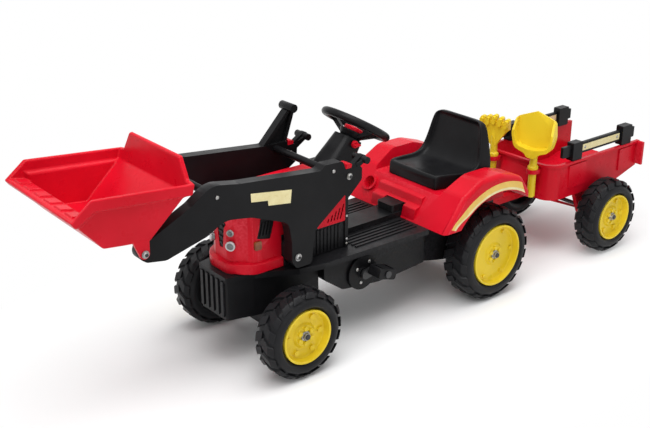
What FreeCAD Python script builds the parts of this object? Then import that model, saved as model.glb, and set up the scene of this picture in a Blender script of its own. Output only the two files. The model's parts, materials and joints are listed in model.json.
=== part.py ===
import FreeCAD, Part
import math
import os
import types

import Sketcher

# Ride-on pedal tractor with a front loader and a two-wheeled trailer, in millimetres.
# X runs forward, Y to the driver's left and Z up; the origin is on the ground under the middle.

SIZES = (
    ("front_axle_x", 404.5, "front axle ahead of the origin"),
    ("wheelbase", 639, "front axle to rear axle"),
    ("trailer_axle_back", 495, "rear axle to trailer axle"),
    ("hitch_back", 161, "rear axle to hitch pin"),
    ("front_radius", 109, "front and trailer tyre over the lugs"),
    ("front_width", 73, "front and trailer tyre"),
    ("front_outer", 211, "outer face of front and trailer tyres from the middle"),
    ("front_rim", 67, "front and trailer hub radius"),
    ("front_lugs", 18, "lugs on each half of a front tyre"),
    ("rear_radius", 127.5, "rear tyre over the lugs"),
    ("rear_width", 89, "rear tyre"),
    ("rear_outer", 205, "outer face of rear tyres from the middle"),
    ("rear_rim", 84, "rear hub radius"),
    ("rear_lugs", 20, "lugs on each half of a rear tyre"),
    ("lug_height", 6.5, "tyre lugs above the casing"),
    ("axle_radius", 6, "all axles, the crank and the steering shaft"),
    ("run_fit", 0.05, "radial play of a shaft that turns in a bore"),
    ("seat_fit", 0.1, "play between pieces that are fixed together"),
    ("side_gap", 0.5, "play beside a piece that turns"),
    ("wall", 4.5, "moulded walls"),
    ("deck", 236, "footboard top above the ground"),
    ("body_half", 118, "half width of the chassis at the pedals"),
    ("frame_half", 98, "half width of the chassis between the rear wheels"),
    ("king_pin_y", 105, "steering pivots from the middle"),
    ("steer_arm", 45, "steering pivot to tie rod pin"),
    ("drop_arm", 24, "steering shaft to its drop arm pin"),
    ("column_tilt", 32, "steering shaft lean from upright"),
    ("wheel_x", -315, "steering wheel centre from the front axle"),
    ("wheel_z", 504, "steering wheel centre above the ground"),
    ("wheel_ring", 81, "steering wheel ring centre line radius"),
    ("crank_x", -236, "crank axis from the front axle"),
    ("crank_z", 170, "crank axis above the ground"),
    ("crank_throw", 34, "crank axis to pedal axis"),
    ("crank_angle", 170, "left pedal at rest, from forward over the top"),
    ("pedal_width", 40, "pedal along its axle"),
    ("pedal_length", 56, "pedal across its axle"),
    ("sprocket", 24, "both chain sprockets"),
    ("chain_y", -50, "chain plane"),
    ("arm_inside", 97, "loader arm inner faces from the middle"),
    ("arm_thick", 29, "loader arm"),
    ("lift_x", -37, "loader pivot from the front axle"),
    ("lift_z", 270, "loader pivot above the ground"),
    ("tip_x", 360, "bucket pivot from the front axle"),
    ("tip_z", 395, "bucket pivot above the ground"),
    ("grip_x", -189, "handle pivot from the front axle"),
    ("grip_z", 433, "handle pivot above the ground"),
    ("bolt_radius", 6, "loader pivot and bucket pivot bolts"),
    ("bucket_half", 150, "bucket half width at the rim"),
    ("bucket_foot", 136, "bucket half width at the floor"),
    ("tub_half", 126, "trailer tub half width"),
    ("tub_rim", 285, "trailer tub rim above the ground"),
    ("tub_floor", 178, "trailer tub underside above the ground"),
    ("tool_y", 75, "rake and shovel from the middle"),
    ("tool_x", -912, "rake and shovel from the front axle"),
    ("tool_shaft", 11, "rake and shovel shaft radius"),
)

doc = FreeCAD.newDocument("ride_on_tractor")
sheet = doc.addObject("Spreadsheet::Sheet", "sizes")
for row, (name, number, meaning) in enumerate(SIZES, start=1):
    sheet.set(f"A{row}", name)
    sheet.set(f"B{row}", str(number))
    sheet.set(f"C{row}", meaning)
    sheet.setAlias(f"B{row}", name)
doc.recompute()


class Size:
    """A number together with the spreadsheet formula that gives it."""

    def __init__(self, value, formula):
        self.value = float(value)
        self.formula = formula

    def __add__(self, other):
        other = as_size(other)
        return Size(self.value + other.value, f"({self.formula} + {other.formula})")

    def __sub__(self, other):
        other = as_size(other)
        return Size(self.value - other.value, f"({self.formula} - {other.formula})")

    def __mul__(self, other):
        other = as_size(other)
        return Size(self.value * other.value, f"({self.formula} * {other.formula})")

    def __truediv__(self, other):
        other = as_size(other)
        return Size(self.value / other.value, f"({self.formula} / {other.formula})")

    def __radd__(self, other):
        return as_size(other) + self

    def __rsub__(self, other):
        return as_size(other) - self

    def __rmul__(self, other):
        return as_size(other) * self

    def __neg__(self):
        return as_size(0) - self


def as_size(number):
    if isinstance(number, Size):
        return number
    return Size(number, f"({float(number)!r})")


def cosine(degrees):
    degrees = as_size(degrees)
    return Size(math.cos(math.radians(degrees.value)), f"cos({degrees.formula} * 1 deg)")


def sine(degrees):
    degrees = as_size(degrees)
    return Size(math.sin(math.radians(degrees.value)), f"sin({degrees.formula} * 1 deg)")


d = types.SimpleNamespace(**{name: Size(sheet.get(name), f"sizes.{name}") for name, number, meaning in SIZES})
rear_x = d.front_axle_x - d.wheelbase
trailer_x = rear_x - d.trailer_axle_back
hitch_x = rear_x - d.hitch_back
front_wheel_y = d.front_outer - d.front_width / 2
rear_wheel_y = d.rear_outer - d.rear_width / 2
arm_outside = d.arm_inside + d.arm_thick
FORWARD = (1, 0, 0)
LEFT = (0, 1, 0)
UP = (0, 0, 1)
SIDES = (("left", 1), ("right", -1))


# Helpers that draw bound sketches and build features on them


def bind(item, path, number):
    item.setExpression(path, as_size(number).formula)


def body(label):
    item = doc.addObject("PartDesign::Body", label)
    item.Label = label
    return item


def place(item, x=d.front_axle_x, y=0, z=0, axis=None, turn=0):
    if axis:
        for name, part in zip("xyz", axis):
            item.setExpression(f"Placement.Rotation.Axis.{name}", str(part))
        bind(item, "Placement.Rotation.Angle", turn)
    bind(item, "Placement.Base.x", x)
    bind(item, "Placement.Base.y", y)
    bind(item, "Placement.Base.z", z)
    return item


class Drawing:
    """Lines, arcs and bound sizes of one sketch, handed over together."""

    def __init__(self):
        self.shapes = []
        self.guides = []
        self.rules = []
        self.bound = []

    def shape(self, geometry):
        self.shapes.append(geometry)
        return len(self.shapes) - 1

    def rule(self, *what):
        self.rules.append(Sketcher.Constraint(*what))

    def limit(self, kind, number, *points):
        number = as_size(number)
        self.bound.append((len(self.rules), number.formula))
        self.rule(kind, *points, number.value)

    def hold(self, geometry, point, x, y):
        self.limit("DistanceX", x, -1, 1, geometry, point)
        self.limit("DistanceY", y, -1, 1, geometry, point)

    def put_on(self, sketch):
        sketch.addGeometry(self.shapes)
        for guide in self.guides:
            sketch.setConstruction(guide, True)
        sketch.addConstraint(self.rules)
        for index, formula in self.bound:
            sketch.setExpression(f"Constraints[{index}]", formula)


def round_corner(point, before, after, radius):
    """Where a rounding of this radius leaves the two sides of a corner, and its arc."""
    back = (before - point).normalize()
    ahead = (after - point).normalize()
    half = back.getAngle(ahead) / 2
    trim = radius / math.tan(half)
    start = point + back * trim
    end = point + ahead * trim
    if not radius:
        return start, end, None
    middle = point + (back + ahead).normalize() * (radius / math.sin(half))
    turns_left = ahead.cross(back).z > 0
    first, last = (start, end) if turns_left else (end, start)
    angles = [math.atan2(p.y - middle.y, p.x - middle.x) for p in (first, last)]
    ring = Part.Circle(middle, FreeCAD.Vector(0, 0, 1), radius)
    return start, end, Part.ArcOfCircle(ring, *angles)


def draw_corners(drawing, corners):
    """Closed loop of straight sides through the corners (x, y, rounding)."""
    points = [FreeCAD.Vector(as_size(c[0]).value, as_size(c[1]).value, 0) for c in corners]
    radii = [as_size(c[2]) if len(c) > 2 else as_size(0) for c in corners]
    count = len(points)
    ends = []
    for i in range(count):
        ends.append(round_corner(points[i], points[i - 1], points[(i + 1) % count], radii[i].value))
    sides = []
    for i in range(count):
        sides.append(drawing.shape(Part.LineSegment(ends[i][1], ends[(i + 1) % count][0])))
    for i in range(count):
        before = sides[i - 1]
        after = sides[i]
        start, end, arc = ends[i]
        if arc is None:
            drawing.rule("Coincident", before, 2, after, 1)
            drawing.hold(after, 1, corners[i][0], corners[i][1])
            continue
        forward = arc.StartPoint.distanceToPoint(start) < arc.StartPoint.distanceToPoint(end)
        arc = drawing.shape(arc)
        drawing.rule("Tangent", before, 2, arc, 1 if forward else 2)
        drawing.rule("Tangent", after, 1, arc, 2 if forward else 1)
        drawing.limit("Radius", radii[i], arc)
        corner = drawing.shape(Part.Point(points[i]))
        drawing.guides.append(corner)
        drawing.hold(corner, 1, corners[i][0], corners[i][1])
        drawing.rule("PointOnObject", corner, 1, before)
        drawing.rule("PointOnObject", corner, 1, after)


def draw_circle(drawing, x, y, radius):
    middle = FreeCAD.Vector(as_size(x).value, as_size(y).value, 0)
    ring = drawing.shape(Part.Circle(middle, FreeCAD.Vector(0, 0, 1), as_size(radius).value))
    drawing.hold(ring, 3, x, y)
    drawing.limit("Radius", radius, ring)


PLANES = {"XY": 3, "XZ": 4, "YZ": 5}


def sketch_on(item, plane, level, loops=(), circles=()):
    sketch = item.newObject("Sketcher::SketchObject", "outline")
    sketch.AttachmentSupport = (item.Origin.OriginFeatures[PLANES[plane]], [""])
    sketch.MapMode = "FlatFace"
    bind(sketch, "AttachmentOffset.Base.z", level)
    drawing = Drawing()
    for corners in loops:
        draw_corners(drawing, corners)
    for x, y, radius in circles:
        draw_circle(drawing, x, y, radius)
    drawing.put_on(sketch)
    return sketch


def add(item, plane, low, high, loops=(), circles=()):
    """Material between two levels across the plane, inside the loops and circles."""
    level = -as_size(high) if plane == "XZ" else low
    feature = item.newObject("PartDesign::Pad", "add")
    feature.Profile = sketch_on(item, plane, level, loops, circles)
    bind(feature, "Length", as_size(high) - low)
    item.Tip = feature
    return feature


def cut(item, plane, low, high, loops=(), circles=()):
    """Takes away material between two levels across the plane, inside the loops and circles."""
    level = -as_size(low) if plane == "XZ" else high
    feature = item.newObject("PartDesign::Pocket", "cut")
    feature.Profile = sketch_on(item, plane, level, loops, circles)
    bind(feature, "Length", as_size(high) - low)
    item.Tip = feature
    return feature


def turned(item, corners):
    """Solid of revolution about the body's Z axis, from corners (radius, height, rounding)."""
    sketch = sketch_on(item, "XZ", 0, [corners])
    feature = item.newObject("PartDesign::Revolution", "turned")
    feature.Profile = sketch
    feature.ReferenceAxis = (sketch, ["V_Axis"])
    feature.Angle = 360
    item.Tip = feature
    return feature


def block(x0, x1, y0, y1, radius=0):
    return [(x0, y0, radius), (x1, y0, radius), (x1, y1, radius), (x0, y1, radius)]


def mirrored(corners):
    """The same outline on the other side of the sketch's X axis."""
    return [(c[0], -as_size(c[1]), *c[2:]) for c in corners]


def span(side, low, high):
    """Levels low to high on the left, or their mirror on the right."""
    return (low, high) if side > 0 else (-as_size(high), -as_size(low))


def ring_of(count, radius, hole, start=0):
    return [
        (radius * cosine(start + i * 360 / count), radius * sine(start + i * 360 / count), hole)
        for i in range(count)
    ]


def turned_point(reach, across, turn):
    """A point this far out and this far across, turned about the origin."""
    return (reach * cosine(turn) - across * sine(turn), reach * sine(turn) + across * cosine(turn))


def tilted(corners, turn):
    """The same outline turned about the sketch's origin."""
    return [(*turned_point(c[0], c[1], turn), *c[2:]) for c in corners]


def group(label, items):
    """One node of separate solids."""
    node = doc.addObject("Part::Compound", label)
    node.Label = label
    node.Links = items
    return node


def cylinder(name, radius, length, x, y, z, axis=None, turn=0):
    """Round bar along Z from its base point, or along the turned axis."""
    item = doc.addObject("Part::Cylinder", name)
    bind(item, "Radius", radius)
    bind(item, "Height", length)
    return place(item, x, y, z, axis, turn)


def bar_across(name, radius, low, high, x, z):
    """Round bar along Y between two levels."""
    return cylinder(name, radius, as_size(high) - low, x, low, z, FORWARD, -90)


def drilled(label, base, tools):
    """The base with the tools taken away."""
    tool = doc.addObject("Part::MultiFuse", f"{label}_tools")
    tool.Shapes = tools
    node = doc.addObject("Part::Cut", label)
    node.Label = label
    node.Base = base
    node.Tool = tool
    return node


def hexagon(radius):
    return [(radius * cosine(60 * i), radius * sine(60 * i)) for i in range(6)]


def capsule(x0, z0, x1, z1, radius):
    """Outline with round ends about two points, as eight corners."""
    dx = as_size(x1).value - as_size(x0).value
    dz = as_size(z1).value - as_size(z0).value
    lean = math.degrees(math.atan2(dz, dx))
    corners = []
    for x, z, start in ((x0, z0, lean + 112.5), (x1, z1, lean - 67.5)):
        for step in range(4):
            reach = radius / cosine(22.5)
            angle = start + 45 * step
            corners.append((x + reach * cosine(angle), z + reach * sine(angle), radius * 0.98))
    return corners


# Wheels


WEB_HALF = 8
AXLE_INSET = 8
HUB_RECESS = 13
LUG_SLANT = 0.55


def tyre(label, radius, width, rim, lugs, side):
    """Casing on a closed web, with two staggered halves of slanted lugs; local Z is the axis, outwards."""
    item = body(label)
    half = width / 2
    tread = radius - d.lug_height
    bore = d.axle_radius + d.run_fit
    turned(
        item,
        [
            (bore, AXLE_INSET - half),
            (18, AXLE_INSET - half),
            (20, -WEB_HALF, 3),
            (rim - 4, -WEB_HALF, 3),
            (rim, AXLE_INSET - half),
            (rim + 9, -half, 5),
            (tread - 16, -half, 14),
            (tread, 15 - half, 14),
            (tread, half - 15, 14),
            (tread - 16, half, 14),
            (rim + 9, half, 5),
            (rim, half - AXLE_INSET),
            (rim, WEB_HALF),
            (bore, WEB_HALF),
        ],
    )
    slant = LUG_SLANT * side
    length = half - 5
    crest_half = 10
    foot_half = 13
    edge = crest_half + length * (LUG_SLANT / 2)
    crest = radius - edge * edge / radius / 2
    features = []
    for upper in (True, False):
        turn = 0 if upper else 180 / lugs.value
        corners = []
        profile = ((tread - 6, -foot_half), (crest, -crest_half), (crest, crest_half), (tread - 6, foot_half))
        for reach, across in profile:
            across = across - length * (slant / 2)
            corners.append(turned_point(reach, across, turn))
        feature = item.newObject("PartDesign::Pad", "lug")
        feature.Profile = sketch_on(item, "XY", 1 if upper else -1, [corners])
        lean = slant if upper else -slant
        feature.UseCustomVector = True
        feature.Direction = FreeCAD.Vector(
            -lean * math.sin(math.radians(turn)), lean * math.cos(math.radians(turn)), 1
        )
        feature.AlongSketchNormal = True
        feature.Reversed = not upper
        bind(feature, "Length", length)
        features.append(feature)
    pattern = item.newObject("PartDesign::PolarPattern", "lugs")
    pattern.Originals = features
    pattern.Axis = (features[0].Profile[0], ["N_Axis"])
    pattern.Angle = 360
    bind(pattern, "Occurrences", lugs)
    item.Tip = pattern
    shoulder = [(radius + 4, half - 20), (radius + 4, half + 4), (tread - 11, half + 4)]
    sketch = sketch_on(item, "XZ", 0, [shoulder, mirrored(shoulder)])
    trim = item.newObject("PartDesign::Groove", "shoulders")
    trim.Profile = sketch
    trim.ReferenceAxis = (sketch, ["V_Axis"])
    trim.Angle = 360
    item.Tip = trim
    return item


def hub(label, width, rim, boss_ring, boss_radius):
    """Dished wheel centre that opens outward along local Z."""
    item = body(label)
    half = width / 2
    edge = rim - d.seat_fit
    bore = d.axle_radius + d.run_fit
    base = WEB_HALF + d.seat_fit
    turned(
        item,
        [
            (bore, base),
            (edge, base),
            (edge, half - 1, 1),
            (edge - 5, half - 1, 1),
            (edge - 9, half - 19, 4),
            (31, half - 19, 4),
            (26, half - HUB_RECESS, 2),
            (bore, half - HUB_RECESS),
        ],
    )
    add(item, "XY", half - 21, half - 14, circles=ring_of(6, boss_ring, boss_radius))
    add(item, "XY", half - 16, half - 8, circles=ring_of(6, as_size(18.5), 5.5, start=30))
    return item


def axle_nut():
    """Washer and hexagon nut on an axle's end, from the washer's inner face outward."""
    item = body("axle_nut")
    bore = (0, 0, d.axle_radius + d.seat_fit)
    add(item, "XY", 0, 2, circles=[(0, 0, 12), bore])
    add(item, "XY", 2, 9, [hexagon(as_size(9.5))], [bore])
    return item


def copy_of(label, master, x, y, z, turn):
    """A node of the same shape as the master, its local Z turned sideways."""
    return place(group(label, [master]), x, y, z, FORWARD, turn)


def wheels():
    front_tyres = {}
    rear_tyres = {}
    for side_name, side in SIDES:
        front_tyres[side] = tyre("front_tyre", d.front_radius, d.front_width, d.front_rim, d.front_lugs, side)
        rear_tyres[side] = tyre("rear_tyre", d.rear_radius, d.rear_width, d.rear_rim, d.rear_lugs, side)
    front_hub = hub("front_hub", d.front_width, d.front_rim, as_size(46), 7)
    rear_hub = hub("rear_hub", d.rear_width, d.rear_rim, as_size(64), 5)
    nut = axle_nut()
    front = (front_tyres, front_hub, front_wheel_y, d.front_radius, d.front_width)
    rear = (rear_tyres, rear_hub, rear_wheel_y, d.rear_radius, d.rear_width)
    axles = (("front", d.front_axle_x, front), ("trailer", trailer_x, front), ("rear", rear_x, rear))
    for axle, x, kit in axles:
        tyres, centre, y, z, width = kit
        nut_y = y + width / 2 - HUB_RECESS + d.side_gap
        nuts = []
        for side_name, side in SIDES:
            copy_of(f"{axle}_tyre_{side_name}", tyres[side], x, side * y, z, -90 * side)
            copy_of(f"{axle}_hub_{side_name}", centre, x, side * y, z, -90 * side)
            nuts.append(copy_of(f"{axle}_nut_{side_name}", nut, x, side * nut_y, z, -90 * side))
        if axle != "front":
            group(f"{axle}_nuts", nuts)


wheels()


# Chassis


def chassis():
    item = body("chassis")
    top = d.deck
    nose = [(116, -52, 6), (116, 52, 6), (50, 70), (-121, 95), (-121, -95), (50, -70)]
    add(item, "XY", 125, top, [nose])
    flange = [(118, 56, 4), (48, 74), (-45, 121), (-110, 135), (-446, 143, 6)]
    add(item, "XY", top - 14, top, [flange + [(c[0], -c[1], *c[2:]) for c in reversed(flange)]])
    flank = [
        (-120, top - 1),
        (-120, 182, 18),
        (-178, 140, 25),
        (-292, 126, 30),
        (-350, 127, 20),
        (-450, 134),
        (-450, top - 1),
    ]
    add(item, "XZ", -d.body_half, d.body_half, [flank])
    tail = [
        (-446, top),
        (-446, 130),
        (-520, 112, 20),
        (-600, 98, 20),
        (-685, 98, 20),
        (-728, 140, 10),
        (-728, top),
    ]
    add(item, "XZ", -d.frame_half, d.frame_half, [tail])
    hollow = [
        (110, 46),
        (46, 64),
        (-127, 88),
        (-127, d.body_half - d.wall),
        (-444, d.body_half - d.wall),
        (-452, d.frame_half - d.wall),
        (-722, d.frame_half - d.wall),
    ]
    cut(item, "XY", 60, top - d.wall, [hollow + [(c[0], -as_size(c[1])) for c in reversed(hollow)]])
    fork = d.king_pin_y + 14
    add(item, "XZ", -fork, fork, [block(-16, 16, 78, 140, 6)])
    for side_name, side in SIDES:
        cut(item, "XZ", *span(side, d.king_pin_y - 18, fork + 1), [block(-20, 20, 93.5, 124.5)])
    cut(item, "XY", 70, 145, circles=[(0, side * d.king_pin_y, 5 + d.run_fit) for side_name, side in SIDES])
    add(item, "XY", top - 2, top + 15, [block(-448, -216, -36, 36, 8)])
    add(item, "XY", top - 2, top + 34, [block(-478, -416, -30, 30, 8)])
    treads = [side * y for y in (52, 66, 80, 94, 108) for side_name, side in SIDES]
    add(item, "XY", top - 2, top + 3, [block(-428, -226, y - 3, y + 3) for y in treads])
    add(item, "XY", 134, top - 12, [block(114, 121, y - 5, y + 5) for y in (-42, -21, 0, 21, 42)])
    cut(item, "XY", 60, top + 5, [block(-182, -112, -12, 12, 5)])
    crank_hole = (d.crank_x, d.crank_z, 9 + d.seat_fit)
    axle_hole = (-d.wheelbase, d.rear_radius, 10 + d.seat_fit)
    cut(item, "XZ", -d.body_half - 1, d.body_half + 1, circles=[crank_hole])
    cut(item, "XZ", -d.frame_half - 1, d.frame_half + 1, circles=[axle_hole])
    return place(item)


def bush(name, outer, half, x, z, side):
    item = body(name)
    ring = [(0, 0, outer), (0, 0, d.axle_radius + d.run_fit)]
    low, high = span(side, half - 7, half + 5)
    add(item, "XZ", low, high, circles=ring)
    return place(item, x, 0, z)


def axle_bushes():
    items = []
    for side_name, side in SIDES:
        crank_x = d.front_axle_x + d.crank_x
        items.append(bush(f"crank_bush_{side_name}", 9, d.body_half, crank_x, d.crank_z, side))
        items.append(bush(f"axle_bush_{side_name}", 10, d.frame_half, rear_x, d.rear_radius, side))
    return group("axle_bushes", items)


COVER_SCREWS = ((-20, 26), (18, 14), (6, -24))


def crank_covers():
    items = []
    for side_name, side in SIDES:
        item = body(f"crank_cover_{side_name}")
        bore = (0, 0, 9 + d.side_gap)
        base = d.body_half + d.seat_fit
        add(item, "XZ", *span(side, base, base + 7), circles=[(0, 0, 44), bore])
        add(item, "XZ", *span(side, base + 6, base + 10.5), circles=[(0, 0, 15), bore])
        items.append(place(item, d.front_axle_x + d.crank_x, 0, d.crank_z))
    return group("crank_covers", items)


def screw(name, radius, height, x, z, base, side):
    """Domed screw head on a face that looks sideways."""
    item = body(name)
    turned(item, [(0, 0), (radius, 0), (radius, height * 0.5, 1), (radius * 0.5, height), (0, height)])
    return place(item, d.front_axle_x + x, side * base, z, FORWARD, -90 * side)


def body_screws():
    items = []
    for side_name, side in SIDES:
        for i, (x, z) in enumerate(COVER_SCREWS):
            base = d.body_half + d.seat_fit * 2 + 7
            name = f"cover_screw_{side_name}_{i}"
            items.append(screw(name, 4.5, 3, d.crank_x + x, d.crank_z + z, base, side))
        for i, (x, z) in enumerate(((-209, 318), (-209, 258), (-209, 246))):
            base = as_size(94) + d.seat_fit
            items.append(screw(f"post_screw_{side_name}_{i}", 3.5, 2.5, x, z, base, side))
    return group("body_screws", items)


chassis()
axle_bushes()
crank_covers()
body_screws()


# Hood, console and what sits on them

HOOD_END = -186
ENGINE_FRONT = -25.5
ENGINE_TOP = 312
LAMPS = ((88, 37, 303, 10), (84, 33, 333, 7))
LAMP_YAW = 38


def hood_lamps(prefix, grow):
    ahead = math.cos(math.radians(LAMP_YAW))
    aside = math.sin(math.radians(LAMP_YAW))
    items = []
    for side_name, side in SIDES:
        for i, (x, y, z, radius) in enumerate(LAMPS):
            reach = 10 + grow
            back_x = x - reach * ahead
            back_y = y - reach * aside
            name = f"{prefix}_{side_name}_{i}"
            lamp = cylinder(name, radius + grow, 15 + grow, d.front_axle_x + back_x, side * back_y, z)
            facing = FreeCAD.Vector(ahead, side * aside, 0)
            lamp.Placement.Rotation = FreeCAD.Rotation(FreeCAD.Vector(0, 0, 1), facing)
            items.append(lamp)
    return items


VENT = [(42, 320, 3), (30, 366, 3), (-8, 360, 3), (6, 312, 3)]


def indicator(inset):
    return block(31 + inset, 50 - inset, 293 + inset, 314 - inset, 4)

GRILLE = [(-15, 350, 3), (15, 350, 3), (7, 288, 3), (-7, 288, 3)]


def hood():
    item = body("hood_shell")
    front = [(90, 34, 36), (48, 77, 40)]
    plan = front + [(HOOD_END, 78), (HOOD_END, -78)] + [(c[0], -c[1], c[2]) for c in reversed(front)]
    add(item, "XY", d.deck + d.seat_fit, 424, [plan])
    wide = [(101, 38, 38), (54, 84, 42)]
    band = wide + [(ENGINE_FRONT + 0.5, 84), (ENGINE_FRONT + 0.5, -84)]
    band += [(c[0], -c[1], c[2]) for c in reversed(wide)]
    add(item, "XY", d.deck + d.seat_fit, d.deck + 24, [band])
    under = block(HOOD_END - 1, ENGINE_FRONT + 0.5, 200, ENGINE_TOP + 0.5)
    cut(item, "XZ", -90, 90, [under])
    brow = [(HOOD_END - 1, 440), (HOOD_END - 1, 421), (0, 416, 80), (66, 396, 45), (93, 330)]
    brow += [(120, 330), (120, 440)]
    cut(item, "XZ", -90, 90, [brow])
    shoulder = [(78.5, 330), (72, 385, 30), (46, 418, 30), (20, 425), (20, 450), (100, 450), (100, 330)]
    cut(item, "YZ", HOOD_END - 1, 120, [shoulder, [(-c[0], *c[1:]) for c in shoulder]])
    inside = [(80, 28, 28), (44, 70, 34)]
    inside += [(HOOD_END + 5, 72), (HOOD_END + 5, -72)] + [(c[0], -c[1], c[2]) for c in reversed(inside)]
    cut(item, "XY", 200, 372, [inside])
    for side_name, side in SIDES:
        cut(item, "XZ", *span(side, 74, 90), [VENT, indicator(0)])
    cut(item, "YZ", 85, 110, [GRILLE])
    place(item)
    return drilled("hood", item, hood_lamps("lamp_seat", 0.1))


def hood_grilles():
    items = []
    for side_name, side in SIDES:
        item = body(f"vent_{side_name}")
        add(item, "XZ", *span(side, as_size(74) + d.seat_fit, 76), [[(c[0], c[1], 3) for c in VENT]])
        for i in range(4):
            x = 31 - 9 * i
            add(item, "XZ", *span(side, 75, 78.5), [[(x, 324), (x + 4, 324), (x - 4, 356), (x - 8, 356)]])
        items.append(place(item))
    item = body("centre_grille")
    add(item, "YZ", as_size(85) + d.seat_fit, 88, [GRILLE])
    for z in (300, 314, 328, 342):
        width = 4 + (z - 288) * 0.11
        add(item, "YZ", 87, 90.5, [block(-width, width, z - 2.5, z + 2.5)])
    items.append(place(item))
    return group("hood_grilles", items)


def indicator_lenses():
    items = []
    for side_name, side in SIDES:
        item = body(f"indicator_{side_name}")
        base = as_size(74) + d.seat_fit
        add(item, "XZ", *span(side, base, 79.5), [indicator(d.seat_fit)])
        items.append(place(item))
    return group("indicator_lenses", items)


def console():
    item = body("console")
    base = d.deck + d.seat_fit
    add(item, "XZ", -79, 79, [block(-212, ENGINE_FRONT, base, ENGINE_TOP)])
    tower = [
        (HOOD_END - 0.5, 285),
        (HOOD_END - 0.5, 420),
        (-286, 420, 10),
        (-286, 384, 12),
        (-226, 330),
        (-226, 285),
    ]
    add(item, "XZ", -60, 60, [tower])
    cheek = [(ENGINE_FRONT, base), (ENGINE_FRONT, 300, 10), (-98, 304)]
    cheek += [(-205, 392), (-214, 392), (-214, base)]
    for side_name, side in SIDES:
        add(item, "XZ", *span(side, 78.5, 90), [cheek])
        ribs = [-100 - 11 * i for i in range(9)]
        add(item, "XZ", *span(side, 88, 92.5), [block(x - 3, x + 3, d.deck + 6, 302) for x in ribs])
        add(item, "XZ", *span(side, 84, 94), [block(-214, -204, base, 392, 2)])
    cut(item, "XY", 200, ENGINE_TOP - d.wall, [block(-206, -48, -72, 72, 6)])
    shaft_way = [(-170, 290), (-170, 300), (-191, 322), (-191, 415)]
    shaft_way += [(-281, 415), (-281, 388), (-221, 334), (-221, 290)]
    cut(item, "XZ", -55, 55, [shaft_way])
    cut(item, "XY", 400, 430, [block(-278, -222, -16, 16, 8)])
    bolt = (d.lift_x, d.lift_z, d.bolt_radius + d.seat_fit)
    for side_name, side in SIDES:
        cut(item, "XZ", *span(side, 76, 91), circles=[bolt])
    return place(item)


def side_panels():
    items = []
    outline = [(-203.5, 376, 3), (-203.5, 308, 3), (-112, 308, 3)]
    for side_name, side in SIDES:
        item = body(f"side_panel_{side_name}")
        base = as_size(92.5) + d.seat_fit
        add(item, "XZ", *span(side, base, base + 2.5), [outline])
        for i in range(5):
            x = -152 - 9.5 * i
            low = 316
            high = 325 + 6.6 * i
            lean = 0.32 * (high - low)
            slot = [(x, low, 1), (x + 4, low, 1), (x + 4 - lean, high, 1), (x - lean, high, 1)]
            cut(item, "XZ", *span(side, 90, 97), [slot])
        items.append(place(item))
    return group("side_panels", items)


hood()
hood_grilles()
indicator_lenses()
group("headlights", hood_lamps("lamp", 0))
console()
side_panels()


# Steering

HORN_RADIUS = 24
SPOKE_HALF = 6.5


def along_column(item):
    """Sets a piece drawn about the steering axis, its local Z, at the steering wheel's middle."""
    return place(item, d.front_axle_x + d.wheel_x, 0, d.wheel_z, LEFT, -d.column_tilt)


def steering_column():
    item = body("column_shell")
    loft = item.newObject("PartDesign::AdditiveLoft", "column")
    loft.Profile = sketch_on(item, "XY", 420 + d.seat_fit, [block(-288, -192, -38, 38, 22)])
    loft.Sections = [sketch_on(item, "XY", 512, [block(-350, -288, -27, 27, 18)])]
    item.Tip = loft
    place(item)
    bore = along_column(cylinder("column_bore", d.axle_radius + d.run_fit, 200, 0, 0, 0))
    tilt = d.column_tilt
    bind(bore, "Placement.Base.x", d.front_axle_x + d.wheel_x + 200 * sine(tilt))
    bind(bore, "Placement.Base.z", d.wheel_z - 200 * cosine(tilt))
    top = along_column(cylinder("column_top", 90, 80, 0, 0, 0))
    bind(top, "Placement.Base.x", d.front_axle_x + d.wheel_x + 36.5 * sine(tilt))
    bind(top, "Placement.Base.z", d.wheel_z - 36.5 * cosine(tilt))
    return drilled("steering_column", item, [bore, top])


def steering_wheel():
    item = body("wheel_core")
    turned(item, [(0, -36), (26, -36, 4), (32, -22, 3), (32, -19), (0, -19)])
    spoke = [(26, -34), (d.wheel_ring, -7), (d.wheel_ring, 2), (d.wheel_ring - 7, 2), (26, -23)]
    back = [(-c[0], c[1]) for c in spoke]
    add(item, "XZ", -SPOKE_HALF, SPOKE_HALF, [back])
    add(item, "YZ", -SPOKE_HALF, SPOKE_HALF, [spoke, back])
    cut(item, "XY", -24, -18, circles=[(0, 0, HORN_RADIUS + d.side_gap)])
    along_column(item)
    ring = doc.addObject("Part::Torus", "wheel_ring")
    bind(ring, "Radius1", d.wheel_ring)
    bind(ring, "Radius2", 10)
    along_column(ring)
    node = doc.addObject("Part::Fuse", "steering_wheel")
    node.Label = "steering_wheel"
    node.Base = item
    node.Tool = ring
    return node


def horn_button():
    item = body("horn_button")
    turned(item, [(0, -20), (HORN_RADIUS, -20), (HORN_RADIUS, -9, 3), (0, -6)])
    return along_column(item)


def steering_shaft():
    item = body("steering_shaft")
    low = -470
    turned(item, [(0, low), (d.axle_radius, low), (d.axle_radius, -36.2), (0, -36.2)])
    add(item, "XY", low, low + 10, [block(-d.drop_arm - 8, 9, -8, 8, 4)])
    add(item, "XY", low - 20, low + 2, circles=[(-d.drop_arm, 0, 4)])
    return along_column(item)


def ignition_key():
    item = body("ignition_key")
    turned(item, [(0, 0), (9, 0), (9, 8, 2), (0, 8)])
    add(item, "XY", 7, 17, [block(-8, 8, -2.5, 2.5, 1.5)])
    return place(item, d.front_axle_x - 281.6, 33.6, 467.8, FORWARD, -90)


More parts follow.
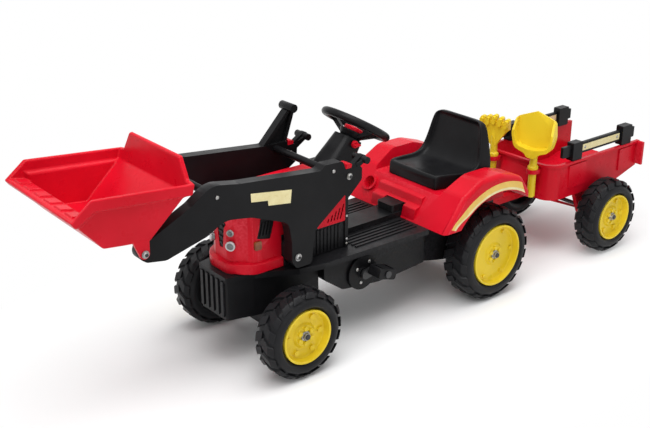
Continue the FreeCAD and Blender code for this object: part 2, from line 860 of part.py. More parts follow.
def knuckle(side_name, side):
    item = body(f"knuckle_{side_name}")
    add(item, "XY", -15, 15, circles=[(0, 0, 11)])
    add(item, "XY", -33, 34, circles=[(0, 0, 5)])
    reach = d.front_outer - d.king_pin_y - 1
    add(item, "XZ", *span(side, 0, reach), circles=[(0, 0, d.axle_radius)])
    collar = front_wheel_y - d.front_width / 2 + AXLE_INSET - d.king_pin_y - d.side_gap
    add(item, "XZ", *span(side, collar - 5, collar), circles=[(0, 0, 10)])
    add(item, "XY", -15, -9, [block(-d.steer_arm - 8, 4, -8, 8, 6)])
    add(item, "XY", -31, -12, circles=[(-d.steer_arm, 0, 4)])
    return place(item, d.front_axle_x, side * d.king_pin_y, d.front_radius)


def tie_rod():
    item = body("tie_rod")
    end = d.king_pin_y + 12
    add(item, "XY", 82, 86, [block(-d.steer_arm - 12, 13 - d.steer_arm, -end, end, 8)])
    add(item, "XY", 82, 86, [block(-96, -d.steer_arm, -15, 15, 5)])
    for side_name, side in SIDES:
        y = side * d.king_pin_y
        cut(item, "XY", 80, 90, [block(-d.steer_arm - 4.5, 8 - d.steer_arm, y - 4.3, y + 4.3, 3)])
    cut(item, "XY", 80, 90, [block(-90, -66, -4.9, 4.9, 3)])
    return place(item)


steering_column()
steering_wheel()
horn_button()
steering_shaft()
ignition_key()
for side_name, side in SIDES:
    knuckle(side_name, side)
tie_rod()


# Pedal drive


CRANK_STANDOFF = 13.5
CRANK_PLATE = 8
PEDAL_TILT = 17
PEDAL_THICK = 26


def crankshaft():
    item = body("crankshaft")
    plate = d.body_half + CRANK_STANDOFF
    reach = plate + CRANK_PLATE
    add(item, "XZ", -reach, reach, circles=[(0, 0, d.axle_radius)])
    for side_name, side in SIDES:
        x = side * d.crank_throw * cosine(d.crank_angle)
        z = side * d.crank_throw * sine(d.crank_angle)
        arm_outline = capsule(as_size(0), as_size(0), x, z, as_size(12))
        add(item, "XZ", *span(side, plate, reach), [arm_outline])
        end = reach + d.pedal_width + d.side_gap * 2
        add(item, "XZ", *span(side, reach - 1, end + 1), circles=[(x, z, 5)])
        add(item, "XZ", *span(side, end, end + 3), circles=[(x, z, 9)])
    add(item, "XZ", d.chain_y - 2, d.chain_y + 2, circles=[(0, 0, d.sprocket)])
    return place(item, d.front_axle_x + d.crank_x, 0, d.crank_z)


def pedal(side_name, side):
    item = body(f"pedal_{side_name}")
    start = d.body_half + CRANK_STANDOFF + CRANK_PLATE + d.side_gap
    end = start + d.pedal_width
    half = d.pedal_length / 2
    thick = PEDAL_THICK / 2
    tread = tilted(block(-half, half, -thick, thick, 5), PEDAL_TILT)
    add(item, "XZ", *span(side, start, end), [tread], [(0, 0, 5 + d.run_fit)])
    for x in (-18, 18):
        for z in (-thick, thick):
            groove = tilted(block(x - 4, x + 4, z - 4, z + 4), PEDAL_TILT)
            cut(item, "XZ", *span(side, start + 6, end - 6), [groove])
    x = d.front_axle_x + d.crank_x + side * d.crank_throw * cosine(d.crank_angle)
    z = d.crank_z + side * d.crank_throw * sine(d.crank_angle)
    return place(item, x, 0, z)


def rear_axle():
    item = body("rear_axle")
    end = d.rear_outer - 1
    add(item, "XZ", -end, end, circles=[(0, 0, d.axle_radius)])
    collar = d.rear_outer - d.rear_width + AXLE_INSET - d.side_gap
    for side_name, side in SIDES:
        add(item, "XZ", *span(side, collar - 5, collar), circles=[(0, 0, 11)])
    add(item, "XZ", d.chain_y - 2, d.chain_y + 2, circles=[(0, 0, d.sprocket)])
    return place(item, rear_x, 0, d.rear_radius)


def drive_chain():
    """Closed loop round both sprockets, drawn along local X and leaned onto their centres."""
    item = body("drive_chain")
    along = d.wheelbase + d.crank_x
    drop = d.crank_z - d.rear_radius
    length = math.hypot(along.value, drop.value)
    lean = math.degrees(math.atan2(drop.value, along.value))
    loops = []
    for grow in (0.4, 6):
        radius = d.sprocket + grow
        loops.append(capsule(as_size(0), as_size(0), as_size(length), as_size(0), radius))
    add(item, "XZ", d.chain_y - 3, d.chain_y + 3, loops)
    return place(item, rear_x, 0, d.rear_radius, LEFT, -lean)


crankshaft()
for side_name, side in SIDES:
    pedal(side_name, side)
rear_axle()
drive_chain()


# Rear body, seat and hitch


HOLDER = FreeCAD.Vector(-473, -118, 279)
HOLDER_AXIS = FreeCAD.Vector(0.793, 0, 0.609)


def drink_holder(item, kind, radius, low, high):
    """Round boss or bore square to the right fender's front slope."""
    feature = item.newObject(kind, "drink_holder")
    bind(feature, "Radius", radius)
    bind(feature, "Height", high - low)
    lean = FreeCAD.Rotation(FreeCAD.Vector(0, 0, 1), HOLDER_AXIS)
    feature.Placement = FreeCAD.Placement(HOLDER + HOLDER_AXIS * low, lean)
    item.Tip = feature


def rear_body():
    item = body("rear_body")
    base = d.deck + d.seat_fit
    crown = [
        (-440, base),
        (-506, 322, 30),
        (-566, 354, 50),
        (-645, 354, 70),
        (-722, 330, 40),
        (-757, 282, 28),
        (-757, base),
    ]
    add(item, "XZ", -200, 200, [crown])
    round_top = item.newObject("PartDesign::Fillet", "shoulders")
    doc.recompute()
    base_feature = round_top.BaseFeature if round_top.BaseFeature else item.Group[-2]
    names = []
    for i, edge in enumerate(base_feature.Shape.Edges, start=1):
        box = edge.BoundBox
        on_side = abs(abs(box.YMin) - 200) < 0.01 and abs(abs(box.YMax) - 200) < 0.01
        on_top = box.ZMin > d.deck.value + 0.5 or (box.XMax > -441 and box.ZMax > 250)
        if on_side and on_top and box.YLength < 0.01:
            names.append(f"Edge{i}")
    round_top.Base = (base_feature, names)
    round_top.Radius = 13
    item.Tip = round_top
    valley = [(-124, 307, 4), (124, 307, 4), (138, 372), (-138, 372)]
    cut(item, "YZ", -780, -420, [valley])
    arch = (-d.wheelbase, d.rear_radius, 178)
    for side_name, side in SIDES:
        cut(item, "XZ", *span(side, 106, 210), circles=[arch])
    steps = [
        (-442, base),
        (-449, 268, 5),
        (-468, 274, 3),
        (-473, 293, 5),
        (-492, 298, 3),
        (-497, 307),
        (-540, 307),
        (-540, base),
    ]
    add(item, "XZ", -82, 82, [steps])
    drink_holder(item, "PartDesign::AdditiveCylinder", 23, -14, 7)
    drink_holder(item, "PartDesign::SubtractiveCylinder", 17, -18, 8)
    cut(item, "XY", 200, 300, [block(-735, -500, -92, 92, 10)])
    cut(item, "XY", 200, d.deck + 35, [block(-479, -430, -37, 37)])
    return place(item)


def seat():
    item = body("seat")
    base = 307 + d.seat_fit
    shape = [
        (-508, base, 6),
        (-508, 341, 8),
        (-545, 343, 25),
        (-640, 330, 28),
        (-660, 352, 20),
        (-676, 452, 6),
        (-694, 456, 8),
        (-702, 345, 30),
        (-694, base, 6),
    ]
    add(item, "XZ", -118, 118, [shape])
    taper = [(-490, 86), (-640, 117.9), (-664, 117.9), (-712, 108), (-712, 140), (-490, 140)]
    cut(item, "XY", 300, 346, [taper, mirrored(taper)])
    back = [(112, 346), (92, 420), (89, 458, 27), (40, 461), (40, 475), (150, 475), (150, 346)]
    cut(item, "YZ", -740, -600, [back, [(-c[0], *c[1:]) for c in back]])
    dish = [(-530, 350), (-530, 344, 6), (-550, 333, 25), (-638, 321, 30), (-668, 352, 20)]
    dish += [(-684, 440, 4), (-660, 442)]
    cut(item, "XZ", -74, 74, [dish])
    return place(item)


HITCH_EYE = 14
hitch_top = d.tub_floor - 20


def hitch_bracket():
    item = body("hitch_bracket")
    pin = -(d.wheelbase + d.hitch_back)
    top = hitch_top
    add(item, "XY", top - 8, top, [block(pin - 22, -728 - d.seat_fit, -24, 24, 10)])
    add(item, "YZ", -733, -728 - d.seat_fit, [block(-40, 40, top - 16, top + 42, 6)])
    add(item, "XY", top - 18, top + HITCH_EYE + 1, circles=[(pin, 0, 7)])
    add(item, "XY", top + HITCH_EYE, top + HITCH_EYE + 6, circles=[(pin, 0, 11)])
    return place(item)


rear_body()
seat()
hitch_bracket()


# Front loader


ARM = (
    (389, 398, 20),
    (352, 370, 18),
    (306, 362, 30),
    (205, 388, 40),
    (158, 413, 60),
    (90, 402, 80),
    (-12, 362, 30),
    (-20, 310),
    (-20, 262, 10),
    (-32, 243, 10),
    (-78, 243, 12),
    (-85, 322, 20),
    (-180, 392, 10),
    (-206, 408, 10),
    (-208, 452, 10),
    (-178, 452),
)
ARM_HUMP = ((-170, 474, 10), (-118, 476, 12), (-104, 465, 12))
ARM_PLAIN = ((-178, 464, 3), (-104, 465))
ARM_TOP = ((117, 487, 80), (190, 500, 60), (238, 466, 40), (345, 416, 25))


def arm(side_name, side):
    item = body(f"arm_{side_name}")
    outline = list(ARM + (ARM_HUMP if side > 0 else ARM_PLAIN) + ARM_TOP)
    bores = [
        (d.lift_x, d.lift_z, d.bolt_radius + d.run_fit),
        (d.tip_x, d.tip_z, d.bolt_radius + d.seat_fit),
        (d.grip_x, d.grip_z, 4 + d.seat_fit),
    ]
    add(item, "XZ", *span(side, d.arm_inside, arm_outside), [outline], bores)
    fork = block(-220, d.grip_x + 16, 400, 480)
    cut(item, "XZ", *span(side, d.arm_inside + 7, arm_outside - 7), [fork])
    return place(item)


def crossbars():
    items = []
    for name, x, z in (("front_crossbar", 176, 470), ("rear_crossbar", -142, 452)):
        end = d.arm_inside - d.seat_fit
        items.append(bar_across(name, 9, -end, end, d.front_axle_x + x, z))
    return group("crossbars", items)


def lift_lever():
    item = body("lift_lever")
    middle = d.arm_inside + d.arm_thick / 2
    plate = [(-108, 465.3), (-178, 464.6), (-190, 500), (-204, 540, 6), (-180, 540, 6)]
    add(item, "XZ", -middle - 4, 4 - middle, [plate])
    for ridge in (
        [(-108, 465.3), (-122, 465.3), (-193, 540, 2), (-180, 540, 2)],
        [(-168, 464.7), (-178, 464.6), (-204, 540, 2), (-194, 540, 2)],
    ):
        add(item, "XZ", -middle - 11, 11 - middle, [ridge])
    add(item, "XZ", -middle - 25, 25 - middle, circles=[(-192, 546, 10.5)])
    return place(item)


def tilt_handle(side_name, side):
    item = body(f"tilt_handle_{side_name}")
    low, high = span(side, d.arm_inside + 7 + d.side_gap, arm_outside - 7 - d.side_gap)
    grip = (-48, 30.5)
    bore = (0, 0, 4 + d.run_fit)
    stem = capsule(as_size(0), as_size(0), as_size(grip[0]), as_size(grip[1]), as_size(10))
    add(item, "XZ", low, high, [stem], [bore])
    middle = d.arm_inside + d.arm_thick / 2
    add(item, "XZ", *span(side, middle - 24, middle + 24), circles=[(grip[0], grip[1], 8.5)])
    return place(item, d.front_axle_x + d.grip_x, 0, d.grip_z)


def lock_catches():
    items = []
    for side_name, side in SIDES:
        item = body(f"lock_catch_{side_name}")
        low, high = span(side, d.arm_inside + 1, arm_outside - 1)
        rest = 452 + d.seat_fit
        add(item, "XZ", low, high, [[(-180, rest), (-196, rest), (-198, 462, 3), (-184, 464, 3)]])
        items.append(place(item))
    return group("lock_catches", items)


def bolt(name, radius, low, high, x, z, side, head):
    """Shank from low to high with a domed head beyond it, pointing outward."""
    item = body(name)
    turned(
        item,
        [
            (0, low),
            (radius, low),
            (radius, high),
            (head + 2, high),
            (head + 2, high + 1.5),
            (head, high + 1.5),
            (head, high + 4, 2),
            (0, high + 6.5),
        ],
    )
    return place(item, d.front_axle_x + x, 0, z, FORWARD, -90 * side)


def loader_bolts():
    items = []
    for side_name, side in SIDES:
        low = d.arm_inside - 3
        ear = arm_outside + 9.5 + d.side_gap * 2
        name = f"tip_bolt_{side_name}"
        items.append(bolt(name, d.bolt_radius, low, ear, d.tip_x, d.tip_z, side, 6.5))
        face = arm_outside + d.seat_fit
        items.append(bolt(f"grip_bolt_{side_name}", 4, low, face, d.grip_x, d.grip_z, side, 6))
        for i, (x, z) in enumerate(((176, 470), (-142, 456))):
            items.append(screw(f"bar_screw_{side_name}_{i}", 4.5, 3, x, z, face, side))
    return group("loader_bolts", items)


def arm_pivot_bolts():
    items = []
    for side_name, side in SIDES:
        face = arm_outside + d.side_gap
        items.append(bolt(f"pivot_bolt_{side_name}", d.bolt_radius, 80, face, d.lift_x, d.lift_z, side, 7))
    return group("arm_pivot_bolts", items)


def bucket_block(name, inset, half, foot, lift):
    """Bucket outline from its rim down to its floor, narrowing to the floor."""
    item = body(name)
    outline = [
        (246 + inset, 525 + lift),
        (476 - inset * 0.5, 545 + lift),
        (521 - inset * 1.3, 510 + inset * 0.8 + lift),
        (450 - inset * 0.6, 432 + inset, 12),
        (356 + inset * 0.6, 420 + inset, 12),
    ]
    add(item, "XZ", -half, half, [outline])
    flare = [(foot, 400), (foot, 425), (half, 520), (half + 0.5, 600), (half + 40, 600), (half + 40, 400)]
    cut(item, "YZ", 200, 560, [flare, [(-as_size(c[0]), *c[1:]) for c in flare]])
    return place(item)


def bucket():
    outer = bucket_block("bucket_outer", as_size(0), d.bucket_half, d.bucket_foot, 0)
    rim = [(252, 500), (244, 525), (476, 546), (522, 511), (508, 497), (470, 520)]
    add(outer, "XZ", -d.bucket_half - 4, d.bucket_half + 4, [rim])
    crest = [(-118, 515, 4), (-104, 573, 10), (104, 573, 10), (118, 515, 4)]
    add(outer, "YZ", 241, 250, [crest])
    for side_name, side in SIDES:
        ear = [(d.tip_x - 14, 445), (d.tip_x - 10, d.tip_z - 10, 9)]
        ear += [(d.tip_x + 10, d.tip_z - 10, 9), (d.tip_x + 32, 445)]
        low = arm_outside + d.side_gap * 2
        add(outer, "XZ", *span(side, low, low + 8.5), [ear], [(d.tip_x, d.tip_z, d.bolt_radius + d.run_fit)])
    inner = bucket_block("bucket_inner", as_size(5), d.bucket_half - 5, d.bucket_foot - 5, 0)
    mouth = [(256, 520), (478, 538), (512, 513), (540, 640), (256, 640)]
    add(inner, "XZ", 6 - d.bucket_half, d.bucket_half - 6, [mouth])
    node = doc.addObject("Part::Cut", "bucket")
    node.Label = "bucket"
    node.Base = outer
    node.Tool = inner
    return node


for side_name, side in SIDES:
    arm(side_name, side)
    tilt_handle(side_name, side)
crossbars()
lift_lever()
lock_catches()
loader_bolts()
arm_pivot_bolts()
bucket()


# Trailer

TUB_FRONT = -934
TUB_BEND = -1229
TUB_TAIL = -1331
tool_ring_top = d.tub_rim - 13
TOOL_TURN = 17
RAIL_POSTS = ((-1058, -1017, 53), (-1288, -1244, 58))


def trailer_tub():
    item = body("trailer_tub")
    half = d.tub_half
    rim = d.tub_rim
    floor = d.tub_floor
    axle = -d.wheelbase - d.trailer_axle_back

    def plan(grow, tail):
        front = TUB_FRONT + grow
        radius = 45 + grow
        side_y = half + grow
        return [(front, side_y, radius), (tail, side_y), (tail, -side_y), (front, -side_y, radius)]

    add(item, "XY", floor, rim, [plan(0, TUB_TAIL)])
    add(item, "XY", rim - 7, rim, [plan(6, TUB_TAIL)])
    for side_name, side in SIDES:
        for x0, x1 in ((-1086, -1008), (-1306, -1240)):
            add(item, "XZ", *span(side, half - 2, half + 4), [block(x0, x1, floor + 28, rim - 12, 4)])
        flange = block(TUB_TAIL, TUB_TAIL + 9, floor + 34, rim - 1, 3)
        add(item, "XZ", *span(side, half - 4, half + 24), [flange])
        foot = d.front_radius - 13
        leg = [(axle + 66, floor + 3), (axle + 28, foot, 8), (axle - 16, foot, 8), (axle - 34, floor + 3)]
        axle_hole = (axle, d.front_radius, d.axle_radius + d.seat_fit)
        add(item, "XZ", *span(side, 92, 106), [leg], [axle_hole])
    step = [(TUB_FRONT - 2, floor + 12), (TUB_FRONT - 2, rim - 19)]
    step += [(TUB_FRONT + 24, floor + 36, 6), (TUB_FRONT + 24, floor + 12)]
    add(item, "XZ", -52, 52, [step])
    under_tail = [(TUB_BEND, floor - 1), (TUB_TAIL - 1, floor + 28), (TUB_TAIL - 1, floor - 1)]
    cut(item, "XZ", -160, 160, [under_tail])
    cut(item, "XY", floor + d.wall, rim + 5, [plan(-4.5, TUB_BEND)])
    load = [
        (TUB_BEND + 5, floor + d.wall),
        (TUB_BEND, floor + d.wall),
        (TUB_TAIL - 2, floor + 33),
        (TUB_TAIL - 2, rim + 5),
        (TUB_BEND + 5, rim + 5),
    ]
    cut(item, "XZ", d.wall - half, half - d.wall, [load])
    for side_name, side in SIDES:
        y = side * d.tool_y
        bore = (d.tool_x, y, d.tool_shaft + d.run_fit)
        ring = block(d.tool_x - 23, d.tool_x + 17, y - 17, y + 17, 15)
        add(item, "XY", tool_ring_top - 12, tool_ring_top, [ring], [bore])
    return place(item)


def rail(side_name, side):
    item = body(f"rail_{side_name}")
    inside = d.tub_half - 20
    base = d.tub_rim + d.seat_fit
    plank = block(-1310, -980, d.tub_rim + 14, d.tub_rim + 46, 3)
    add(item, "XZ", *span(side, inside + 8, inside + 17), [plank])
    for x0, x1, rise in RAIL_POSTS:
        add(item, "XZ", *span(side, inside, inside + 24), [block(x0, x1, base, d.tub_rim + rise, 3)])
    return place(item)


def trailer_screws():
    items = []
    for side_name, side in SIDES:
        base = d.tub_half - 3 + d.seat_fit
        for i, x in enumerate((-1078, -1226)):
            items.append(screw(f"rail_screw_{side_name}_{i}", 4, 2.5, x, d.tub_rim + 30, base, side))
    return group("trailer_screws", items)


def trailer_frame():
    item = body("drawbar")
    pin = -(d.wheelbase + d.hitch_back)
    bore = (pin, 0, 7 + d.run_fit)
    base = hitch_top + d.side_gap
    add(item, "XY", base, hitch_top + HITCH_EYE - d.side_gap, circles=[(pin, 0, 18), bore])
    bar = [(pin - 14, 12), (-960, 12), (-1000, 30, 8), (-1120, 30)]
    bar += reversed(mirrored(bar))
    add(item, "XY", base, d.tub_floor - d.seat_fit, [bar])
    cut(item, "XY", base - 1, d.tub_floor + 1, circles=[bore])
    place(item)
    stays = [item]
    for side_name, side in SIDES:
        run = FreeCAD.Vector(-140, 0, -60)
        stay = cylinder(f"stay_{side_name}", 4, run.Length, d.front_axle_x - 966, side * 87.9, 173.5)
        stay.Placement.Rotation = FreeCAD.Rotation(FreeCAD.Vector(0, 0, 1), run)
        stays.append(stay)
    return group("trailer_frame", stays)


def trailer_axle():
    item = body("trailer_axle")
    end = d.front_outer - 1
    add(item, "XZ", -end, end, circles=[(0, 0, d.axle_radius)])
    collar = d.front_outer - d.front_width + AXLE_INSET - d.side_gap
    for side_name, side in SIDES:
        add(item, "XZ", *span(side, collar - 5, collar), circles=[(0, 0, 10)])
    return place(item, trailer_x, 0, d.front_radius)


def tool_shaft(item, side):
    """Shaft in its ring, with the collar that rests on the ring; local Z is up from the ring's top."""
    r = d.tool_shaft
    turned(
        item,
        [
            (0, -84),
            (r - 3, -84),
            (r, -80),
            (r, d.side_gap),
            (r + 4, d.side_gap),
            (r + 4, 8, 3),
            (r, 12),
            (r - 1, 62),
            (0, 62),
        ],
    )
    return place(item, d.front_axle_x + d.tool_x, side * d.tool_y, tool_ring_top, UP, TOOL_TURN)


def both_sides(half):
    """Closed outline from its right half, drawn from the bottom up about the sketch's Y axis."""
    return half + [(-c[0], *c[1:]) for c in reversed(half)]


def rake():
    item = body("rake")
    tool_shaft(item, -1)
    head = both_sides([(10, 30, 20), (15, 46, 40), (42, 84, 20), (46, 106, 6)])
    add(item, "YZ", -8, 8, [head])
    for i in range(5):
        y = -38 + 19 * i
        tip = 124 - abs(i - 2) * 4
        add(item, "YZ", -10, 6, [block(y - 7, y + 7, 80, tip, 6)])
        add(item, "YZ", 5, 16, [block(y - 5, y + 5, tip - 26, tip - 3, 4)])
    return item


def shovel():
    item = body("shovel")
    tool_shaft(item, 1)
    blade = both_sides([(13, 38, 12), (20, 50, 16), (52, 62, 22), (62, 100, 60), (58, 146, 14), (0.1, 168)])
    add(item, "YZ", -8, 24, [blade])
    hollow = both_sides([(14, 62, 10), (46, 70, 18), (55, 102, 50), (52, 146), (52, 180)])
    cut(item, "YZ", -3, 40, [hollow])
    lip = [(0, 175), (0, 158), (30, 100), (40, 100), (40, 175)]
    cut(item, "XZ", -70, 70, [lip])
    return item


trailer_tub()
for side_name, side in SIDES:
    rail(side_name, side)
trailer_screws()
trailer_frame()
trailer_axle()
rake()
shovel()


# Check every piece and write it

NODES = (
    "chassis axle_bushes crank_covers body_screws hood hood_grilles indicator_lenses headlights console "
    "side_panels steering_column steering_wheel horn_button steering_shaft ignition_key knuckle_left "
    "knuckle_right tie_rod front_tyre_left front_tyre_right front_hub_left front_hub_right front_nut_left "
    "front_nut_right rear_tyre_left rear_tyre_right rear_hub_left rear_hub_right rear_nuts crankshaft "
    "pedal_left pedal_right rear_axle drive_chain rear_body seat hitch_bracket arm_left arm_right crossbars "
    "lift_lever tilt_handle_left tilt_handle_right lock_catches loader_bolts arm_pivot_bolts bucket "
    "trailer_tub rail_left rail_right trailer_screws trailer_frame trailer_axle trailer_nuts "
    "trailer_tyre_left trailer_tyre_right trailer_hub_left trailer_hub_right rake shovel"
).split()

doc.recompute()
for item in doc.Objects:
    if "Invalid" in item.State or "Error" in item.State:
        raise RuntimeError(f"{item.Label} did not build: {item.State}")
os.makedirs("parts", exist_ok=True)
for label in NODES:
    node = doc.getObjectsByLabel(label)[0]
    if node.Shape.isNull() or not node.Shape.isValid():
        raise RuntimeError(f"{label} has no valid shape")
    node.Shape.exportStep(f"parts/{label}.step")
print(f"{len(NODES)} nodes written")
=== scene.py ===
import json
import math

import bmesh
import bpy
from mathutils import Matrix, Vector


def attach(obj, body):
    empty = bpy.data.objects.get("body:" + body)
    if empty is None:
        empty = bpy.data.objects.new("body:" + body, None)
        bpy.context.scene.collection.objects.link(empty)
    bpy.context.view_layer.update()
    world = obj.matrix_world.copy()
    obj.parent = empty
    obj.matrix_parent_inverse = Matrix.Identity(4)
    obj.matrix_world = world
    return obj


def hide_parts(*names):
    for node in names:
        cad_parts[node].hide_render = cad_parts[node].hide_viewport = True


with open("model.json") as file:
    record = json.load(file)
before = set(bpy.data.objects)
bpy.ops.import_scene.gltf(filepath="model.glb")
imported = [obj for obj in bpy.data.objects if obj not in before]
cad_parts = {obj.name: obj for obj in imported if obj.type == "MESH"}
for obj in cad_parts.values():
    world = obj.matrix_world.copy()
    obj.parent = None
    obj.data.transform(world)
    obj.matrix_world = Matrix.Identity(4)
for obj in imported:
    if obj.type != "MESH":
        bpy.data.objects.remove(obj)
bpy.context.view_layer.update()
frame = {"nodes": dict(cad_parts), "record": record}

# Places shared with the solids, in metres. The x of a pivot, and each x in the sections on pieces below,
# is counted from the front axle.
FRONT_AXLE_X = 0.4045
WHEELBASE = 0.639
REAR_AXLE_X = FRONT_AXLE_X - WHEELBASE
REAR_AXLE_Z = 0.1275
DECK_Z = 0.236
ARM_FACE_Y = 0.126
FENDER_FACE_Y = 0.2
RAIL_INNER_Y = 0.114
RAIL_OUTER_Y = 0.123
BUCKET_PIVOT = (0.360, 0.395)
HANDLE_PIVOT = (-0.189, 0.433)
LOADER_PIVOT = (-0.037, 0.270)
SIDES = (("left", 1), ("right", -1))


# Materials

WHITE = (1, 1, 1, 1)
# Pointiness of an edge where the painted highlight starts and where it is strongest
HIGHLIGHT_FROM = 0.53
HIGHLIGHT_TO = 0.62


def new_material(name):
    """A material with its node tree and its shader."""
    material = bpy.data.materials.new(name)
    material.use_nodes = True
    tree = material.node_tree
    return material, tree, tree.nodes["Principled BSDF"]


def noise(tree, scale, detail=3.0, roughness=0.5):
    """Noise in the piece's own coordinates, in features per metre."""
    place = tree.nodes.new("ShaderNodeTexCoord")
    texture = tree.nodes.new("ShaderNodeTexNoise")
    texture.inputs["Scale"].default_value = scale
    texture.inputs["Detail"].default_value = detail
    texture.inputs["Roughness"].default_value = roughness
    tree.links.new(place.outputs["Object"], texture.inputs["Vector"])
    return texture.outputs["Fac"]


def spread(tree, value, low, high, start=0.3, end=0.7):
    """The value's stretch from start to end mapped onto low to high."""
    node = tree.nodes.new("ShaderNodeMapRange")
    node.inputs["From Min"].default_value = start
    node.inputs["From Max"].default_value = end
    node.inputs["To Min"].default_value = low
    node.inputs["To Max"].default_value = high
    tree.links.new(value, node.inputs["Value"])
    return node.outputs["Result"]


def joined(tree, operation, first, second):
    """One value from two, by a math node's operation."""
    node = tree.nodes.new("ShaderNodeMath")
    node.operation = operation
    tree.links.new(first, node.inputs[0])
    tree.links.new(second, node.inputs[1])
    return node.outputs[0]


def ramp(tree, value, stops):
    """Colours along the value, as two (position, colour) stops."""
    node = tree.nodes.new("ShaderNodeValToRGB")
    for element, (position, colour) in zip(node.color_ramp.elements, stops):
        element.position = position
        element.color = (*colour, 1)
    tree.links.new(value, node.inputs["Fac"])
    return node.outputs["Color"]


def bumped(tree, shader, value, strength, distance):
    """Relief in the shader's normal, up to the distance in metres."""
    node = tree.nodes.new("ShaderNodeBump")
    node.inputs["Strength"].default_value = strength
    node.inputs["Distance"].default_value = distance
    tree.links.new(value, node.inputs["Height"])
    tree.links.new(node.outputs["Normal"], shader.inputs["Normal"])


def painted_edge_highlight(tree, colour, highlight_colour, amount):
    """Mixes a lighter colour into convex edges as a painted highlight, broken up by noise."""
    shape = tree.nodes.new("ShaderNodeNewGeometry")
    edges = spread(tree, shape.outputs["Pointiness"], low=0, high=amount, start=HIGHLIGHT_FROM, end=HIGHLIGHT_TO)
    patches = spread(tree, noise(tree, scale=160, detail=6), low=0, high=1)
    # Painted highlight: the lighter colour is mixed in where the edges are sharpest
    mix = tree.nodes.new("ShaderNodeMix")
    mix.data_type = "RGBA"
    mix.inputs["B"].default_value = (*highlight_colour, 1)
    tree.links.new(joined(tree, "MULTIPLY", edges, patches), mix.inputs["Factor"])
    tree.links.new(colour, mix.inputs["A"])
    return mix.outputs["Result"]


def moulded(name, dark, light, rough, grain, depth, specular=0.5, highlight_colour=None):
    """Moulded plastic: slow colour drift, uneven gloss, a fine grain and a painted highlight on convex
    edges.
    """
    material, tree, shader = new_material(name)
    colour = ramp(tree, noise(tree, scale=7, detail=4), ((0.35, dark), (0.65, light)))
    # Lighter convex edges are a painted highlight
    if highlight_colour:
        colour = painted_edge_highlight(tree, colour, highlight_colour, amount=0.5)
    gloss = spread(tree, noise(tree, scale=30, detail=5), *rough)
    tree.links.new(colour, shader.inputs["Base Color"])
    tree.links.new(gloss, shader.inputs["Roughness"])
    bumped(tree, shader, noise(tree, scale=grain, detail=2), strength=0.35, distance=depth)
    shader.inputs["Specular IOR Level"].default_value = specular
    return material


def plated_steel(warm, bright):
    """Zinc plate with fine scratches and a faint warm cast in patches."""
    material, tree, shader = new_material("plated_steel")
    colour = ramp(tree, noise(tree, scale=90, detail=4), ((0.3, warm), (0.6, bright)))
    gloss = spread(tree, noise(tree, scale=400, detail=6), low=0.26, high=0.46)
    tree.links.new(colour, shader.inputs["Base Color"])
    tree.links.new(gloss, shader.inputs["Roughness"])
    bumped(tree, shader, noise(tree, scale=900, detail=2), strength=0.2, distance=0.0002)
    shader.inputs["Metallic"].default_value = 1.0
    return material


def lens(name, dark, light):
    """Tinted lens with moulded bars across its height."""
    material, tree, shader = new_material(name)
    place = tree.nodes.new("ShaderNodeTexCoord")
    bars = tree.nodes.new("ShaderNodeTexWave")
    bars.bands_direction = "Z"
    bars.inputs["Scale"].default_value = 130
    bars.inputs["Distortion"].default_value = 0.4
    tree.links.new(place.outputs["Object"], bars.inputs["Vector"])
    tint = ramp(tree, noise(tree, scale=60, detail=3), ((0.3, dark), (0.7, light)))
    tree.links.new(tint, shader.inputs["Base Color"])
    bumped(tree, shader, bars.outputs["Fac"], strength=0.3, distance=0.0004)
    shader.inputs["Roughness"].default_value = 0.12
    shader.inputs["Coat Weight"].default_value = 0.15
    return material


def printed_foil(name, dark, light):
    """Bare printed foil: even colour with faint streaks and small scuffs."""
    material, tree, shader = new_material(name)
    tint = ramp(tree, noise(tree, scale=35, detail=6, roughness=0.7), ((0.3, dark), (0.62, light)))
    gloss = spread(tree, noise(tree, scale=120, detail=5), low=0.25, high=0.45)
    tree.links.new(tint, shader.inputs["Base Color"])
    tree.links.new(gloss, shader.inputs["Roughness"])
    bumped(tree, shader, noise(tree, scale=500, detail=2), strength=0.15, distance=0.0001)
    return material


# The last colour given to each plastic below is painted onto its convex edges as a highlight, lighter than
# the plastic
RED = moulded(
    "red_plastic",
    dark=(0.52, 0.0028, 0.013),
    light=(0.62, 0.0055, 0.02),
    rough=(0.24, 0.38),
    grain=700,
    depth=0.00012,
    specular=0.13,
    highlight_colour=(0.78, 0.07, 0.1),
)
BLACK = moulded(
    "black_plastic",
    dark=(0.0042, 0.0042, 0.0048),
    light=(0.0085, 0.0085, 0.0095),
    rough=(0.28, 0.42),
    grain=1100,
    depth=0.00018,
    specular=0.13,
    highlight_colour=(0.03, 0.03, 0.033),
)
TYRE = moulded(
    "black_tyre",
    dark=(0.006, 0.006, 0.007),
    light=(0.0115, 0.0118, 0.0135),
    rough=(0.34, 0.5),
    grain=800,
    depth=0.0002,
    specular=0.17,
    highlight_colour=(0.036, 0.036, 0.039),
)
YELLOW = moulded(
    "yellow_plastic",
    dark=(0.66, 0.48, 0.015),
    light=(0.83, 0.615, 0.027),
    rough=(0.26, 0.42),
    grain=700,
    depth=0.00012,
    specular=0.24,
    highlight_colour=(0.8, 0.62, 0.12),
)
DARK_STEEL = moulded(
    "dark_steel",
    dark=(0.012, 0.012, 0.013),
    light=(0.024, 0.024, 0.026),
    rough=(0.3, 0.5),
    grain=500,
    depth=0.0002,
)
RED_METAL = moulded(
    "red_metal",
    dark=(0.45, 0.004, 0.011),
    light=(0.55, 0.008, 0.017),
    rough=(0.22, 0.36),
    grain=400,
    depth=0.0002,
    specular=0.3,
)
PALE = moulded(
    "pale_plastic",
    dark=(0.5, 0.51, 0.52),
    light=(0.62, 0.63, 0.64),
    rough=(0.2, 0.32),
    grain=600,
    depth=0.0001,
)
